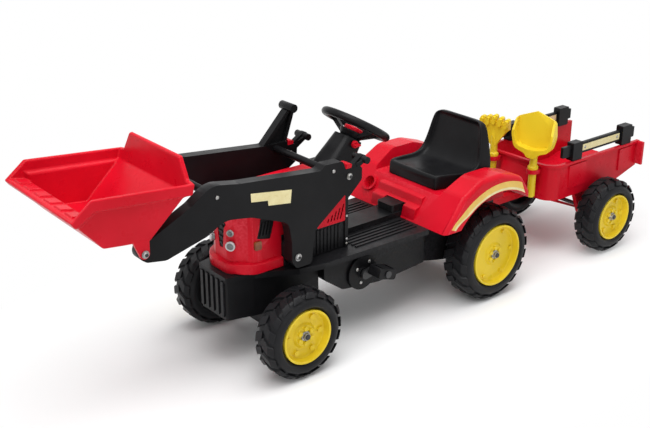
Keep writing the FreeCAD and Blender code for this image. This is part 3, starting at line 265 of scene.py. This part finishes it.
STEEL = plated_steel(warm=(0.27, 0.26, 0.235), bright=(0.42, 0.42, 0.42))
LAMP = lens("lamp_lens", dark=(0.1, 0.105, 0.11), light=(0.24, 0.245, 0.25))
AMBER = lens("amber_lens", dark=(0.15, 0.028, 0.004), light=(0.3, 0.08, 0.014))
CREAM = printed_foil("cream_foil", dark=(0.66, 0.56, 0.26), light=(0.76, 0.68, 0.38))
GOLD = printed_foil("gold_foil", dark=(0.66, 0.4, 0.06), light=(0.76, 0.5, 0.1))


# Solids

SLOT_MATERIALS = {
    "red_plastic": RED,
    "black_plastic": BLACK,
    "black_tyre": TYRE,
    "yellow_plastic": YELLOW,
    "plated_steel": STEEL,
    "dark_steel": DARK_STEEL,
    "red_metal": RED_METAL,
    "lamp_lens": LAMP,
    "amber_lens": AMBER,
}
WELD_REACH = 0.00002
SHARP_ANGLE = math.radians(35)
EDGE_WIDTH = 0.0012
EDGE_SEGMENTS = 2
# Thick-walled mouldings whose edges are rounder
SOFT_EDGES = {
    "trailer_tub": 0.0025,
    "shovel": 0.0025,
    "rake": 0.002,
    "rail_left": 0.002,
    "rail_right": 0.002,
}
SOFT_SEGMENTS = 3


def dress_solids():
    """Gives every solid its slot's material and softly rounded edges."""
    for entry in frame["record"]["subparts"]:
        name = entry["node"]
        node = frame["nodes"][name]
        node.data.materials.clear()
        node.data.materials.append(SLOT_MATERIALS[entry["material_slot"]])
        weld = node.modifiers.new("weld", "WELD")
        weld.merge_threshold = WELD_REACH
        bevel = node.modifiers.new("soft_edges", "BEVEL")
        bevel.limit_method = "ANGLE"
        bevel.angle_limit = SHARP_ANGLE
        bevel.width = SOFT_EDGES.get(name, EDGE_WIDTH)
        bevel.segments = SOFT_SEGMENTS if name in SOFT_EDGES else EDGE_SEGMENTS
        bevel.harden_normals = True


# Mesh pieces


def skin_faces(count, rows, ring):
    """Faces over rows of closed loops of count points, capped at both ends or joined into a ring."""
    total = count * rows
    faces = []
    if not ring:
        faces += [tuple(range(count)), tuple(range(total - count, total))]
    for row in range(rows if ring else rows - 1):
        here = row * count
        there = (here + count) % total
        for i in range(count):
            after = (i + 1) % count
            faces.append((here + i, here + after, there + after, there + i))
    return faces


def skinned(name, loops, material, body, ring=False):
    """Piece whose skin runs over closed loops of equal length."""
    mesh = bpy.data.meshes.new(name)
    verts = [point for loop in loops for point in loop]
    mesh.from_pydata(verts, [], skin_faces(len(loops[0]), len(loops), ring))
    mesh.materials.append(material)
    piece = bpy.data.objects.new(name, mesh)
    bpy.context.scene.collection.objects.link(piece)
    outward = bmesh.new()
    outward.from_mesh(mesh)
    bmesh.ops.recalc_face_normals(outward, faces=outward.faces)
    outward.to_mesh(mesh)
    outward.free()
    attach(piece, body)
    return piece


def shade_smooth(piece):
    """Smooth shading on every face."""
    for polygon in piece.data.polygons:
        polygon.use_smooth = True


def smooth_edges(piece, width, segments=2):
    """Rounds the piece's sharp edges."""
    bevel = piece.modifiers.new("soft_edges", "BEVEL")
    bevel.limit_method = "ANGLE"
    bevel.width = width
    bevel.segments = segments
    bevel.harden_normals = True


def from_axle(outline):
    """The (x, z) outline with its x counted from the frame's origin."""
    return [(FRONT_AXLE_X + x, z) for x, z in outline]


def standing(outline, y):
    """The (x, z) outline as points at a place across the toy."""
    return [(x, y, z) for x, z in outline]


def arc(centre, radius, first, last, steps):
    """Points (x, z) on a circle from one angle to another, in degrees."""
    turns = [math.radians(first + (last - first) * step / steps) for step in range(steps + 1)]
    return [(centre[0] + radius * math.cos(turn), centre[1] + radius * math.sin(turn)) for turn in turns]


def plate(name, outline, near, far, material, body, edge):
    """Flat piece square to Y, from (x, z) corners, between two places across the toy."""
    loops = [standing(outline, far), standing(outline, near)]
    piece = skinned(name, loops, material, body)
    smooth_edges(piece, edge)


# Bare plates and bands

FOIL_THICK = 0.0005
FOIL_GAP = 0.0001
FOIL_EDGE = 0.00015
ARM_PLATE = (
    (0.0928, 0.4603),
    (-0.0225, 0.4428),
    (-0.0185, 0.4075),
    (0.046, 0.4168),
    (0.0472, 0.4292),
    (0.0918, 0.436),
)
ARM_PLATE_BORDER = 0.002
RAIL_PLATE = ((-1.0615, 0.3272), (-1.2405, 0.3272), (-1.2405, 0.3025), (-1.0615, 0.3025))
RAIL_PLATE_MARGIN = 0.003
# Edges of the fender's bands, as angles in degrees and radii about the rear axle
STRIPE_TOP = ((34, 0.2125), (50, 0.205), (70, 0.2035), (113, 0.2035))
STRIPE_SPLIT = ((34.6, 0.2035), (52, 0.1885), (70, 0.187), (119, 0.187))
STRIPE_FOOT = ((35, 0.1965), (54, 0.1815), (70, 0.1805), (122, 0.1805))
STRIPE_STEPS = 28


def foil_span(face_y, outwards):
    """Inner and outer place of a foil on a face square to Y; outwards is 1 or -1."""
    near = face_y + outwards * FOIL_GAP
    return near, near + outwards * FOIL_THICK


def side_foil(name, outline, face_y, outwards, material, body):
    """Thin foil with straight sides on a face square to Y."""
    near, far = foil_span(face_y, outwards)
    plate(name, outline, near, far, material, body, FOIL_EDGE)


def inset(outline, amount):
    """The outline with each side moved in by the amount."""
    corners = [Vector(corner) for corner in outline]
    ahead = corners[1:] + corners[:1]
    area = sum(corner.x * after.y - after.x * corner.y for corner, after in zip(corners, ahead))
    turn = math.copysign(1, area)
    sides = [(after - corner).normalized() for corner, after in zip(corners, ahead)]
    normals = [Vector((-side.y, side.x)) * turn for side in sides]
    moved = []
    for i, corner in enumerate(corners):
        before = normals[i - 1]
        after = normals[i]
        moved.append(tuple(corner + (before + after) * amount / (1 + before.dot(after))))
    return moved


def arm_plates():
    """Bare cream plate with a dark border on the outside of each loader arm."""
    outline = from_axle(ARM_PLATE)
    panel = inset(outline, ARM_PLATE_BORDER)
    for side_name, side in SIDES:
        border_face = side * ARM_FACE_Y
        panel_face = side * (ARM_FACE_Y + FOIL_THICK)
        side_foil(f"arm_plate_border_{side_name}", outline, border_face, side, BLACK, "loader")
        side_foil(f"arm_plate_{side_name}", panel, panel_face, side, CREAM, "loader")


def rail_plates():
    """Bare cream plates on both faces of each trailer rail, between its posts."""
    outline = inset(from_axle(RAIL_PLATE), RAIL_PLATE_MARGIN)
    for side_name, side in SIDES:
        for where, y, outwards in (("inner", RAIL_INNER_Y, -side), ("outer", RAIL_OUTER_Y, side)):
            side_foil(f"rail_plate_{where}_{side_name}", outline, side * y, outwards, CREAM, "trailer")


def stripe_point(stops, share):
    """Point (x, z) at a share of the way along a band's edge, with the radius eased between stops."""
    angle = stops[0][0] + (stops[-1][0] - stops[0][0]) * share
    for (start, start_radius), (end, end_radius) in zip(stops, stops[1:]):
        if angle <= end:
            break
    part = min((angle - start) / (end - start), 1)
    radius = start_radius + (end_radius - start_radius) * part * part * (3 - 2 * part)
    turn = math.radians(angle)
    return REAR_AXLE_X + radius * math.cos(turn), REAR_AXLE_Z + radius * math.sin(turn)


def band_foil(name, upper, lower, face_y, outwards, material, body):
    """Foil along a band between its upper and its lower edge."""
    near, far = foil_span(face_y, outwards)
    loops = []
    for step in range(STRIPE_STEPS + 1):
        edges = [stripe_point(stops, step / STRIPE_STEPS) for stops in (upper, lower)]
        loops.append(standing(edges, far) + standing(edges[::-1], near))
    piece = skinned(name, loops, material, body)
    smooth_edges(piece, FOIL_EDGE)


def fender_stripes():
    """Two plain bands, gold over cream, round each rear wheel arch."""
    bands = (("gold", STRIPE_TOP, STRIPE_SPLIT, GOLD), ("cream", STRIPE_SPLIT, STRIPE_FOOT, CREAM))
    for side_name, side in SIDES:
        for band, upper, lower, material in bands:
            name = f"fender_stripe_{band}_{side_name}"
            band_foil(name, upper, lower, side * FENDER_FACE_Y, side, material, "tractor")


# Lamps

# Each lamp's x, y, z and lens radius, with the material of its bezel
LAMPS = ((0.088, 0.037, 0.303, 0.010, PALE), (0.084, 0.033, 0.333, 0.007, STEEL))
LAMP_YAW = math.radians(38)
LAMP_REACH = 0.005
# Profile points as a share of the lens radius, a radius added to it and a height above the lens
BEZEL_PROFILE = (
    (0.8, 0.0, 0.0001),
    (0.84, 0.0, 0.0016),
    (1.0, 0.0, 0.002),
    (1.0, 0.0016, 0.0008),
    (1.0, 0.0016, -0.003),
    (1.0, 0.0002, -0.003),
    (1.0, 0.0002, 0.0001),
)
LENS_RING_SHARES = (0.62, 0.3)
LENS_RING_PROFILE = ((-0.0009, 0.0001), (-0.0006, 0.0009), (0.0006, 0.0009), (0.0009, 0.0001))
RING_STEPS = 48
RING_EDGE = 0.0003


def turned_ring(name, profile, placement, material):
    """Ring on the tractor, turned about its own Z from a closed profile of (radius, height) points."""
    loops = []
    for step in range(RING_STEPS):
        turned = placement @ Matrix.Rotation(2 * math.pi * step / RING_STEPS, 4, "Z")
        loops.append([turned @ Vector((radius, 0, height)) for radius, height in profile])
    piece = skinned(name, loops, material, "tractor", ring=True)
    shade_smooth(piece)
    smooth_edges(piece, RING_EDGE)


def lamp_placement(x, y, z, side):
    """Frame of a lamp's front face, whose own Z points out of the lens."""
    facing = Vector((math.cos(LAMP_YAW), side * math.sin(LAMP_YAW), 0))
    middle = Vector((FRONT_AXLE_X + x, side * y, z)) + facing * LAMP_REACH
    return Matrix.Translation(middle) @ facing.to_track_quat("Z", "Y").to_matrix().to_4x4()


def lamps():
    """Bright bezel and two raised lens rings on each lamp."""
    for side_name, side in SIDES:
        for i, (x, y, z, radius, bezel_material) in enumerate(LAMPS):
            placement = lamp_placement(x, y, z, side)
            bezel = [(radius * share + added, height) for share, added, height in BEZEL_PROFILE]
            turned_ring(f"lamp_bezel_{side_name}_{i}", bezel, placement, bezel_material)
            for step, share in enumerate(LENS_RING_SHARES):
                ring = [(radius * share + added, height) for added, height in LENS_RING_PROFILE]
                turned_ring(f"lamp_ring_{side_name}_{i}_{step}", ring, placement, LAMP)


# Seat

# Stations from the front lip over the pan and up the back: x, z, half width and dish depth at the rim,
# then x, z and half width of the underside or rear face across from it
SEAT_STATIONS = (
    (-0.5125, 0.3300, 0.078, 0.0000, -0.5125, 0.3110, 0.078),
    (-0.5100, 0.3400, 0.086, 0.0000, -0.5095, 0.3076, 0.089),
    (-0.5200, 0.3445, 0.090, 0.0000, -0.5220, 0.3076, 0.093),
    (-0.5265, 0.3450, 0.0915, 0.0075, -0.5285, 0.3076, 0.0945),
    (-0.5450, 0.3440, 0.095, 0.0120, -0.5480, 0.3076, 0.098),
    (-0.5800, 0.3405, 0.101, 0.0135, -0.5900, 0.3076, 0.106),
    (-0.6150, 0.3370, 0.106, 0.0135, -0.6300, 0.3076, 0.113),
    (-0.6400, 0.3400, 0.109, 0.0140, -0.6650, 0.3076, 0.116),
    (-0.6530, 0.3520, 0.109, 0.0150, -0.6920, 0.3090, 0.113),
    (-0.6600, 0.3700, 0.105, 0.0150, -0.7000, 0.3420, 0.110),
    (-0.6650, 0.3950, 0.099, 0.0145, -0.6985, 0.3850, 0.103),
    (-0.6705, 0.4250, 0.093, 0.0130, -0.6965, 0.4200, 0.096),
    (-0.6745, 0.4420, 0.0885, 0.0105, -0.6950, 0.4400, 0.0905),
    (-0.6765, 0.4485, 0.084, 0.0070, -0.6943, 0.4470, 0.086),
    (-0.6790, 0.4545, 0.076, 0.0000, -0.6935, 0.4530, 0.078),
    (-0.6820, 0.4580, 0.056, 0.0000, -0.6915, 0.4575, 0.056),
)
# Share of the half width and share of the dish depth there, from the middle out over the rim's bead
SEAT_ACROSS = (
    (0.0, 1.0),
    (0.3, 1.0),
    (0.6, 0.95),
    (0.78, 0.84),
    (0.865, 0.66),
    (0.9, 0.1),
    (0.945, -0.06),
    (0.985, 0.0),
)
RIM_EDGE = 0.004
RIM_EDGE_SHARE = 0.3
WALL_SHARE = 0.55
FOOT_SHARE = 0.94
UNDER_ACROSS = (0.96, 0.5, 0.0)
SEAT_ROUNDING = 2


def seat_section(station):
    """Closed loop round the seat at a station: over the sitting face, then back along the underside."""
    x, z, half, depth, under_x, under_z, under_half = station
    rim = Vector((FRONT_AXLE_X + x, 0, z))
    under = Vector((FRONT_AXLE_X + under_x, 0, under_z))
    thick = (under - rim).length
    inward = (under - rim).normalized()
    half_loop = [(rim + inward * depth * sink, share * half) for share, sink in SEAT_ACROSS]
    half_loop.append((rim + inward * min(RIM_EDGE, thick * RIM_EDGE_SHARE), half))
    half_loop.append((rim.lerp(under, WALL_SHARE), half + (under_half - half) * WALL_SHARE))
    half_loop.append((rim.lerp(under, FOOT_SHARE), under_half))
    half_loop += [(under, share * under_half) for share in UNDER_ACROSS]
    left = [(point.x, y, point.z) for point, y in half_loop]
    right = [(x, -y, z) for x, y, z in reversed(left[1:-1])]
    return left + right


def seat_shell():
    """Moulded seat with a dished pan and back inside a thin rolled rim."""
    loops = [seat_section(station) for station in SEAT_STATIONS]
    piece = skinned("seat_shell", loops, BLACK, "tractor")
    shade_smooth(piece)
    rounding = piece.modifiers.new("rounding", "SUBSURF")
    rounding.levels = SEAT_ROUNDING
    rounding.render_levels = SEAT_ROUNDING
    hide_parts("seat")


# Band round the hood

BAND_BACK_X = -0.025
BAND_START_X = 0.010
BAND_REACH = 0.0925
BAND_HALF = 0.087
# Below 1, the round front is fuller than an ellipse
BAND_POWER = 0.83
# Depth in from the path and height above the deck
BAND_PROFILE = ((0.0165, 0.0004), (0.0, 0.0004), (0.0, 0.0243), (0.0165, 0.0285))
BAND_STEPS = 48
BAND_EDGE = 0.003


def band_path():
    """Plan of the band: straight along each side, with a rounded front between."""
    path = [(BAND_BACK_X, -BAND_HALF)]
    for step in range(BAND_STEPS + 1):
        turn = math.pi * (step / BAND_STEPS - 0.5)
        x = BAND_START_X + BAND_REACH * abs(math.cos(turn)) ** BAND_POWER
        y = math.copysign(BAND_HALF * abs(math.sin(turn)) ** BAND_POWER, turn)
        path.append((x, y))
    path.append((BAND_BACK_X, BAND_HALF))
    return [Vector((FRONT_AXLE_X + x, y, DECK_Z)) for x, y in path]


def hood_band():
    """Rounded band about the foot of the hood."""
    path = band_path()
    last = len(path) - 1
    loops = []
    for i, point in enumerate(path):
        along = (path[min(i + 1, last)] - path[max(i - 1, 0)]).normalized()
        inward = Vector((-along.y, along.x, 0))
        loops.append([point + inward * depth + Vector((0, 0, height)) for depth, height in BAND_PROFILE])
    piece = skinned("hood_band", loops, RED, "tractor")
    shade_smooth(piece)
    smooth_edges(piece, BAND_EDGE, segments=3)


# Webs of the T-handles

HANDLE_BAR = (-0.237, 0.4635)
HANDLE_Y = 0.1115
# Distance from the bar's middle and half width there, at both ends of a web
WEB_ENDS = ((0.0, 0.017), (0.024, 0.0085))
WEB_HALF = 0.0055
WEB_EDGE = 0.002


def handle_webs():
    """Tapered web under the bar of each T-handle."""
    bar, pivot = [Vector((x, 0, z)) for x, z in from_axle((HANDLE_BAR, HANDLE_PIVOT))]
    along = (pivot - bar).normalized()
    lift = Vector((-along.z, 0, along.x)) * WEB_HALF
    for side_name, side in SIDES:
        across = Vector((0, side * HANDLE_Y, 0))
        loops = []
        for distance, half in WEB_ENDS:
            middle = bar + along * distance + across
            width = Vector((0, half, 0))
            offsets = (-width - lift, lift - width, width + lift, width - lift)
            loops.append([middle + offset for offset in offsets])
        piece = skinned(f"handle_web_{side_name}", loops, BLACK, f"{side_name}_handle")
        shade_smooth(piece)
        smooth_edges(piece, WEB_EDGE, segments=3)


# Loader bolts

# Each bolt's place, the outer face of its head and the body that carries it
BOLT_HEADS = (
    (BUCKET_PIVOT, 0.143, "loader"),
    (HANDLE_PIVOT, 0.1326, "loader"),
    (LOADER_PIVOT, 0.133, "tractor"),
)
SOCKET_RADIUS = 0.0042
SOCKET_DEPTH = 0.002
SOCKET_PROUD = 0.0002
SOCKET_EDGE = 0.0002


def bolt_sockets():
    """Dark hexagon socket in the head of each loader bolt."""
    for side_name, side in SIDES:
        for i, (place, head, body) in enumerate(BOLT_HEADS):
            corners = from_axle(arc(place, SOCKET_RADIUS, first=0, last=300, steps=5))
            near = side * (head - SOCKET_DEPTH)
            far = side * (head + SOCKET_PROUD)
            name = f"bolt_socket_{side_name}_{i}"
            plate(name, corners, near, far, DARK_STEEL, body, SOCKET_EDGE)


# Bucket

# Loops from the floor's outside up over the rim and down to the floor's inside:
# x, z and half width at the back, the shoulder and the lip
BUCKET_LOOPS = {
    "floor_outside": ((0.345, 0.420, 0.1345), (0.405, 0.426, 0.1355), (0.450, 0.432, 0.1365)),
    "wall_outside": ((0.266, 0.500, 0.1455), (0.466, 0.518, 0.1465), (0.503, 0.492, 0.1455)),
    "rim_foot": ((0.250, 0.502, 0.153), (0.471, 0.522, 0.154), (0.512, 0.496, 0.154)),
    "rim_outside": ((0.244, 0.525, 0.153), (0.476, 0.546, 0.154), (0.522, 0.510, 0.154)),
    "rim_inside": ((0.2535, 0.526, 0.1445), (0.472, 0.545, 0.1445), (0.513, 0.513, 0.1445)),
    "ledge": ((0.260, 0.504, 0.1425), (0.481, 0.522, 0.1425), (0.479, 0.506, 0.1425)),
    "wall_inside": ((0.268, 0.500, 0.1355), (0.474, 0.517, 0.1355), (0.472, 0.500, 0.1355)),
    "floor_inside": ((0.351, 0.427, 0.1295), (0.400, 0.432, 0.130), (0.440, 0.438, 0.131)),
}
# Foot and top of the crest that rises behind the rim: x, z and half width
CREST = {
    "rim_outside": ((0.243, 0.528, 0.131), (0.241, 0.573, 0.104)),
    "rim_inside": ((0.2525, 0.529, 0.128), (0.2505, 0.572, 0.102)),
}
# Shares of the back's half width where the other loops have their points below the crest
CREST_SHARES = (0.88, 0.7)
BUCKET_EDGE = 0.0036


def bucket_loop(name):
    """One closed loop round the bucket: forward from the crest's left end, over the lip and back."""
    corners = BUCKET_LOOPS[name]
    back_x, back_z, back_half = corners[0]
    level = [(back_x, back_z, back_half * share) for share in CREST_SHARES]
    foot, top = CREST.get(name, level)
    left = [(FRONT_AXLE_X + x, y, z) for x, z, y in (top, foot, *corners)]
    right = [(x, -y, z) for x, y, z in reversed(left)]
    return left + right


def bucket_shell():
    """Moulded bucket with a rim band, a ledge inside and the crest behind."""
    loops = [bucket_loop(name) for name in BUCKET_LOOPS]
    piece = skinned("bucket_shell", loops, RED, "scoop")
    shade_smooth(piece)
    smooth_edges(piece, BUCKET_EDGE, segments=4)
    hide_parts("bucket")


EAR_SPAN = (0.127, 0.1355)
EAR_RADIUS = 0.0115
EAR_BORE = 0.0064
EAR_TOP = 0.426
EAR_FRONT = 0.025
EAR_BACK = 0.0125
EAR_TURN = (190, 350)
EAR_STEPS = 16
EAR_SPLIT = 6
EAR_EDGE = 0.0008


def ear_outline():
    """Lug's outline: round below the bolt, then straight up to the bucket, in short steps for its bore."""
    x, z = BUCKET_PIVOT
    outline = arc(BUCKET_PIVOT, EAR_RADIUS, *EAR_TURN, EAR_STEPS)
    corners = [outline[-1], (x + EAR_FRONT, EAR_TOP), (x - EAR_BACK, EAR_TOP), outline[0]]
    for start, end in zip(corners, corners[1:]):
        for step in range(1, EAR_SPLIT + 1):
            outline.append(tuple(Vector(start).lerp(Vector(end), step / EAR_SPLIT)))
    return outline[:-1]


def bucket_ears():
    """Rounded lugs under the bucket, bored for the bolts that they hang on."""
    x, z = BUCKET_PIVOT
    outline = ear_outline()
    turns = [math.atan2(corner_z - z, corner_x - x) for corner_x, corner_z in outline]
    bore = [(x + EAR_BORE * math.cos(turn), z + EAR_BORE * math.sin(turn)) for turn in turns]
    near, far = EAR_SPAN
    around = ((outline, far), (outline, near), (bore, near), (bore, far))
    for side_name, side in SIDES:
        loops = [standing(from_axle(corners), side * y) for corners, y in around]
        piece = skinned(f"bucket_ear_{side_name}", loops, RED, "scoop", ring=True)
        smooth_edges(piece, EAR_EDGE)


LIP_PADS = 6
LIP_PITCH = 0.047
PAD_HALF = 0.0165
# Shares of the way down the lip where a pad starts and ends
PAD_REACH = (0.08, 0.95)
PAD_HEIGHT = 0.0034
PAD_SUNK = 0.001
PAD_TAPER = 0.0022
PAD_EDGE = 0.0009


def lip_pads():
    """Row of raised pads along the inside of the bucket's front lip."""
    lip = [BUCKET_LOOPS[name][-1][:2] for name in ("rim_inside", "ledge")]
    upper, lower = [Vector((x, 0, z)) for x, z in from_axle(lip)]
    along = (lower - upper).normalized()
    raised = Vector((along.z, 0, -along.x))
    start, end = [upper.lerp(lower, share) for share in PAD_REACH]
    for i in range(LIP_PADS):
        middle = Vector((0, (i - (LIP_PADS - 1) / 2) * LIP_PITCH, 0))
        loops = []
        for height, taper in ((-PAD_SUNK, 0.0), (PAD_HEIGHT, PAD_TAPER)):
            width = Vector((0, PAD_HALF - taper, 0))
            top = start + along * taper + raised * height + middle
            foot = end - along * taper + raised * height + middle
            loops.append([top + width, top - width, foot - width, foot + width])
        piece = skinned(f"lip_pad_{i}", loops, RED, "scoop")
        shade_smooth(piece)
        smooth_edges(piece, PAD_EDGE, segments=3)


dress_solids()
hood_band()
handle_webs()
bucket_shell()
bucket_ears()
lip_pads()
bolt_sockets()
arm_plates()
fender_stripes()
rail_plates()
lamps()
seat_shell()


# Stage, lights and camera

FLOOR_SIZE = 30
FLOOR_DARK = (0.92, 0.92, 0.92)
FLOOR_LIGHT = (0.95, 0.95, 0.95)
# Distances from the middle where the floor starts to fade and where it is plain white, on a plan that is
# drawn out along the toy
FADE_FROM = 0.55
FADE_TO = 1.15
FADE_PLAN = (0.85, 1.6, 1)
WORLD_LIGHT = 0.5
CAMERA_PLACE = (FRONT_AXLE_X + 1.2833, 1.855, 1.2748)
CAMERA_AZIMUTH = math.radians(51.01)
CAMERA_ELEVATION = math.radians(22.42)
CAMERA_LENS = 57.65
CAMERA_SENSOR = 36


def seen_rays(tree):
    """1 for camera, glossy and transmission rays, which show the white background, and 0 for others."""
    path = tree.nodes.new("ShaderNodeLightPath")
    reflected = joined(tree, "MAXIMUM", path.outputs["Is Glossy Ray"], path.outputs["Is Transmission Ray"])
    return joined(tree, "MAXIMUM", path.outputs["Is Camera Ray"], reflected)


def white_away(tree, shader):
    """Fades the floor to plain white away from the object, with the object's shadow kept."""
    place = tree.nodes.new("ShaderNodeTexCoord")
    plan = tree.nodes.new("ShaderNodeMapping")
    plan.inputs["Scale"].default_value = FADE_PLAN
    distance = tree.nodes.new("ShaderNodeVectorMath")
    distance.operation = "LENGTH"
    tree.links.new(place.outputs["Object"], plan.inputs["Vector"])
    tree.links.new(plan.outputs["Vector"], distance.inputs[0])
    far = spread(tree, distance.outputs["Value"], low=0, high=1, start=FADE_FROM, end=FADE_TO)
    white = tree.nodes.new("ShaderNodeEmission")
    white.inputs["Color"].default_value = WHITE
    mix = tree.nodes.new("ShaderNodeMixShader")
    tree.links.new(joined(tree, "MULTIPLY", far, seen_rays(tree)), mix.inputs["Fac"])
    tree.links.new(shader.outputs["BSDF"], mix.inputs[1])
    tree.links.new(white.outputs["Emission"], mix.inputs[2])
    tree.links.new(mix.outputs["Shader"], tree.nodes["Material Output"].inputs["Surface"])


def pale_floor():
    """Matt floor that the object stands on."""
    bpy.ops.mesh.primitive_plane_add(size=FLOOR_SIZE, location=(0, 0, 0))
    floor = bpy.context.object
    floor.name = "floor"
    material, tree, shader = new_material("floor")
    tint = ramp(tree, noise(tree, scale=2, detail=2), ((0.3, FLOOR_DARK), (0.7, FLOOR_LIGHT)))
    tree.links.new(tint, shader.inputs["Base Color"])
    shader.inputs["Roughness"].default_value = 0.9
    white_away(tree, shader)
    floor.data.materials.append(material)


def studio_world():
    """World that is white to look at and lights the object less."""
    world = bpy.data.worlds.new("studio")
    bpy.context.scene.world = world
    world.use_nodes = True
    tree = world.node_tree
    strength = spread(tree, seen_rays(tree), low=WORLD_LIGHT, high=1, start=0, end=1)
    background = tree.nodes["Background"]
    background.inputs["Color"].default_value = WHITE
    tree.links.new(strength, background.inputs["Strength"])


def area_light(name, place, target, size, power):
    """Soft rectangular lamp that points at the target."""
    light = bpy.data.lights.new(name, "AREA")
    light.shape = "RECTANGLE"
    light.size, light.size_y = size
    light.energy = power
    lamp = bpy.data.objects.new(name, light)
    lamp.location = place
    lamp.rotation_euler = (Vector(target) - Vector(place)).to_track_quat("-Z", "Y").to_euler()
    bpy.context.scene.collection.objects.link(lamp)


def camera():
    """Camera at the photograph's viewing angle."""
    data = bpy.data.cameras.new("camera")
    data.sensor_width = CAMERA_SENSOR
    data.lens = CAMERA_LENS
    item = bpy.data.objects.new("camera", data)
    item.location = CAMERA_PLACE
    level = -math.cos(CAMERA_ELEVATION)
    down = -math.sin(CAMERA_ELEVATION)
    look = Vector((level * math.cos(CAMERA_AZIMUTH), level * math.sin(CAMERA_AZIMUTH), down))
    item.rotation_euler = look.to_track_quat("-Z", "Y").to_euler()
    bpy.context.scene.collection.objects.link(item)
    bpy.context.scene.camera = item


pale_floor()
studio_world()
area_light("key", place=(1.2, 0.5, 2.7), target=(0, 0, 0.3), size=(2.2, 2.2), power=55)
area_light("fill", place=(0.6, 3.2, 1.4), target=(0, 0, 0.3), size=(2.6, 2.0), power=10)
area_light("top", place=(-0.6, 0.2, 2.8), target=(-0.4, 0, 0.3), size=(2.4, 1.6), power=36)
camera()
bpy.context.scene.view_settings.view_transform = "Standard"
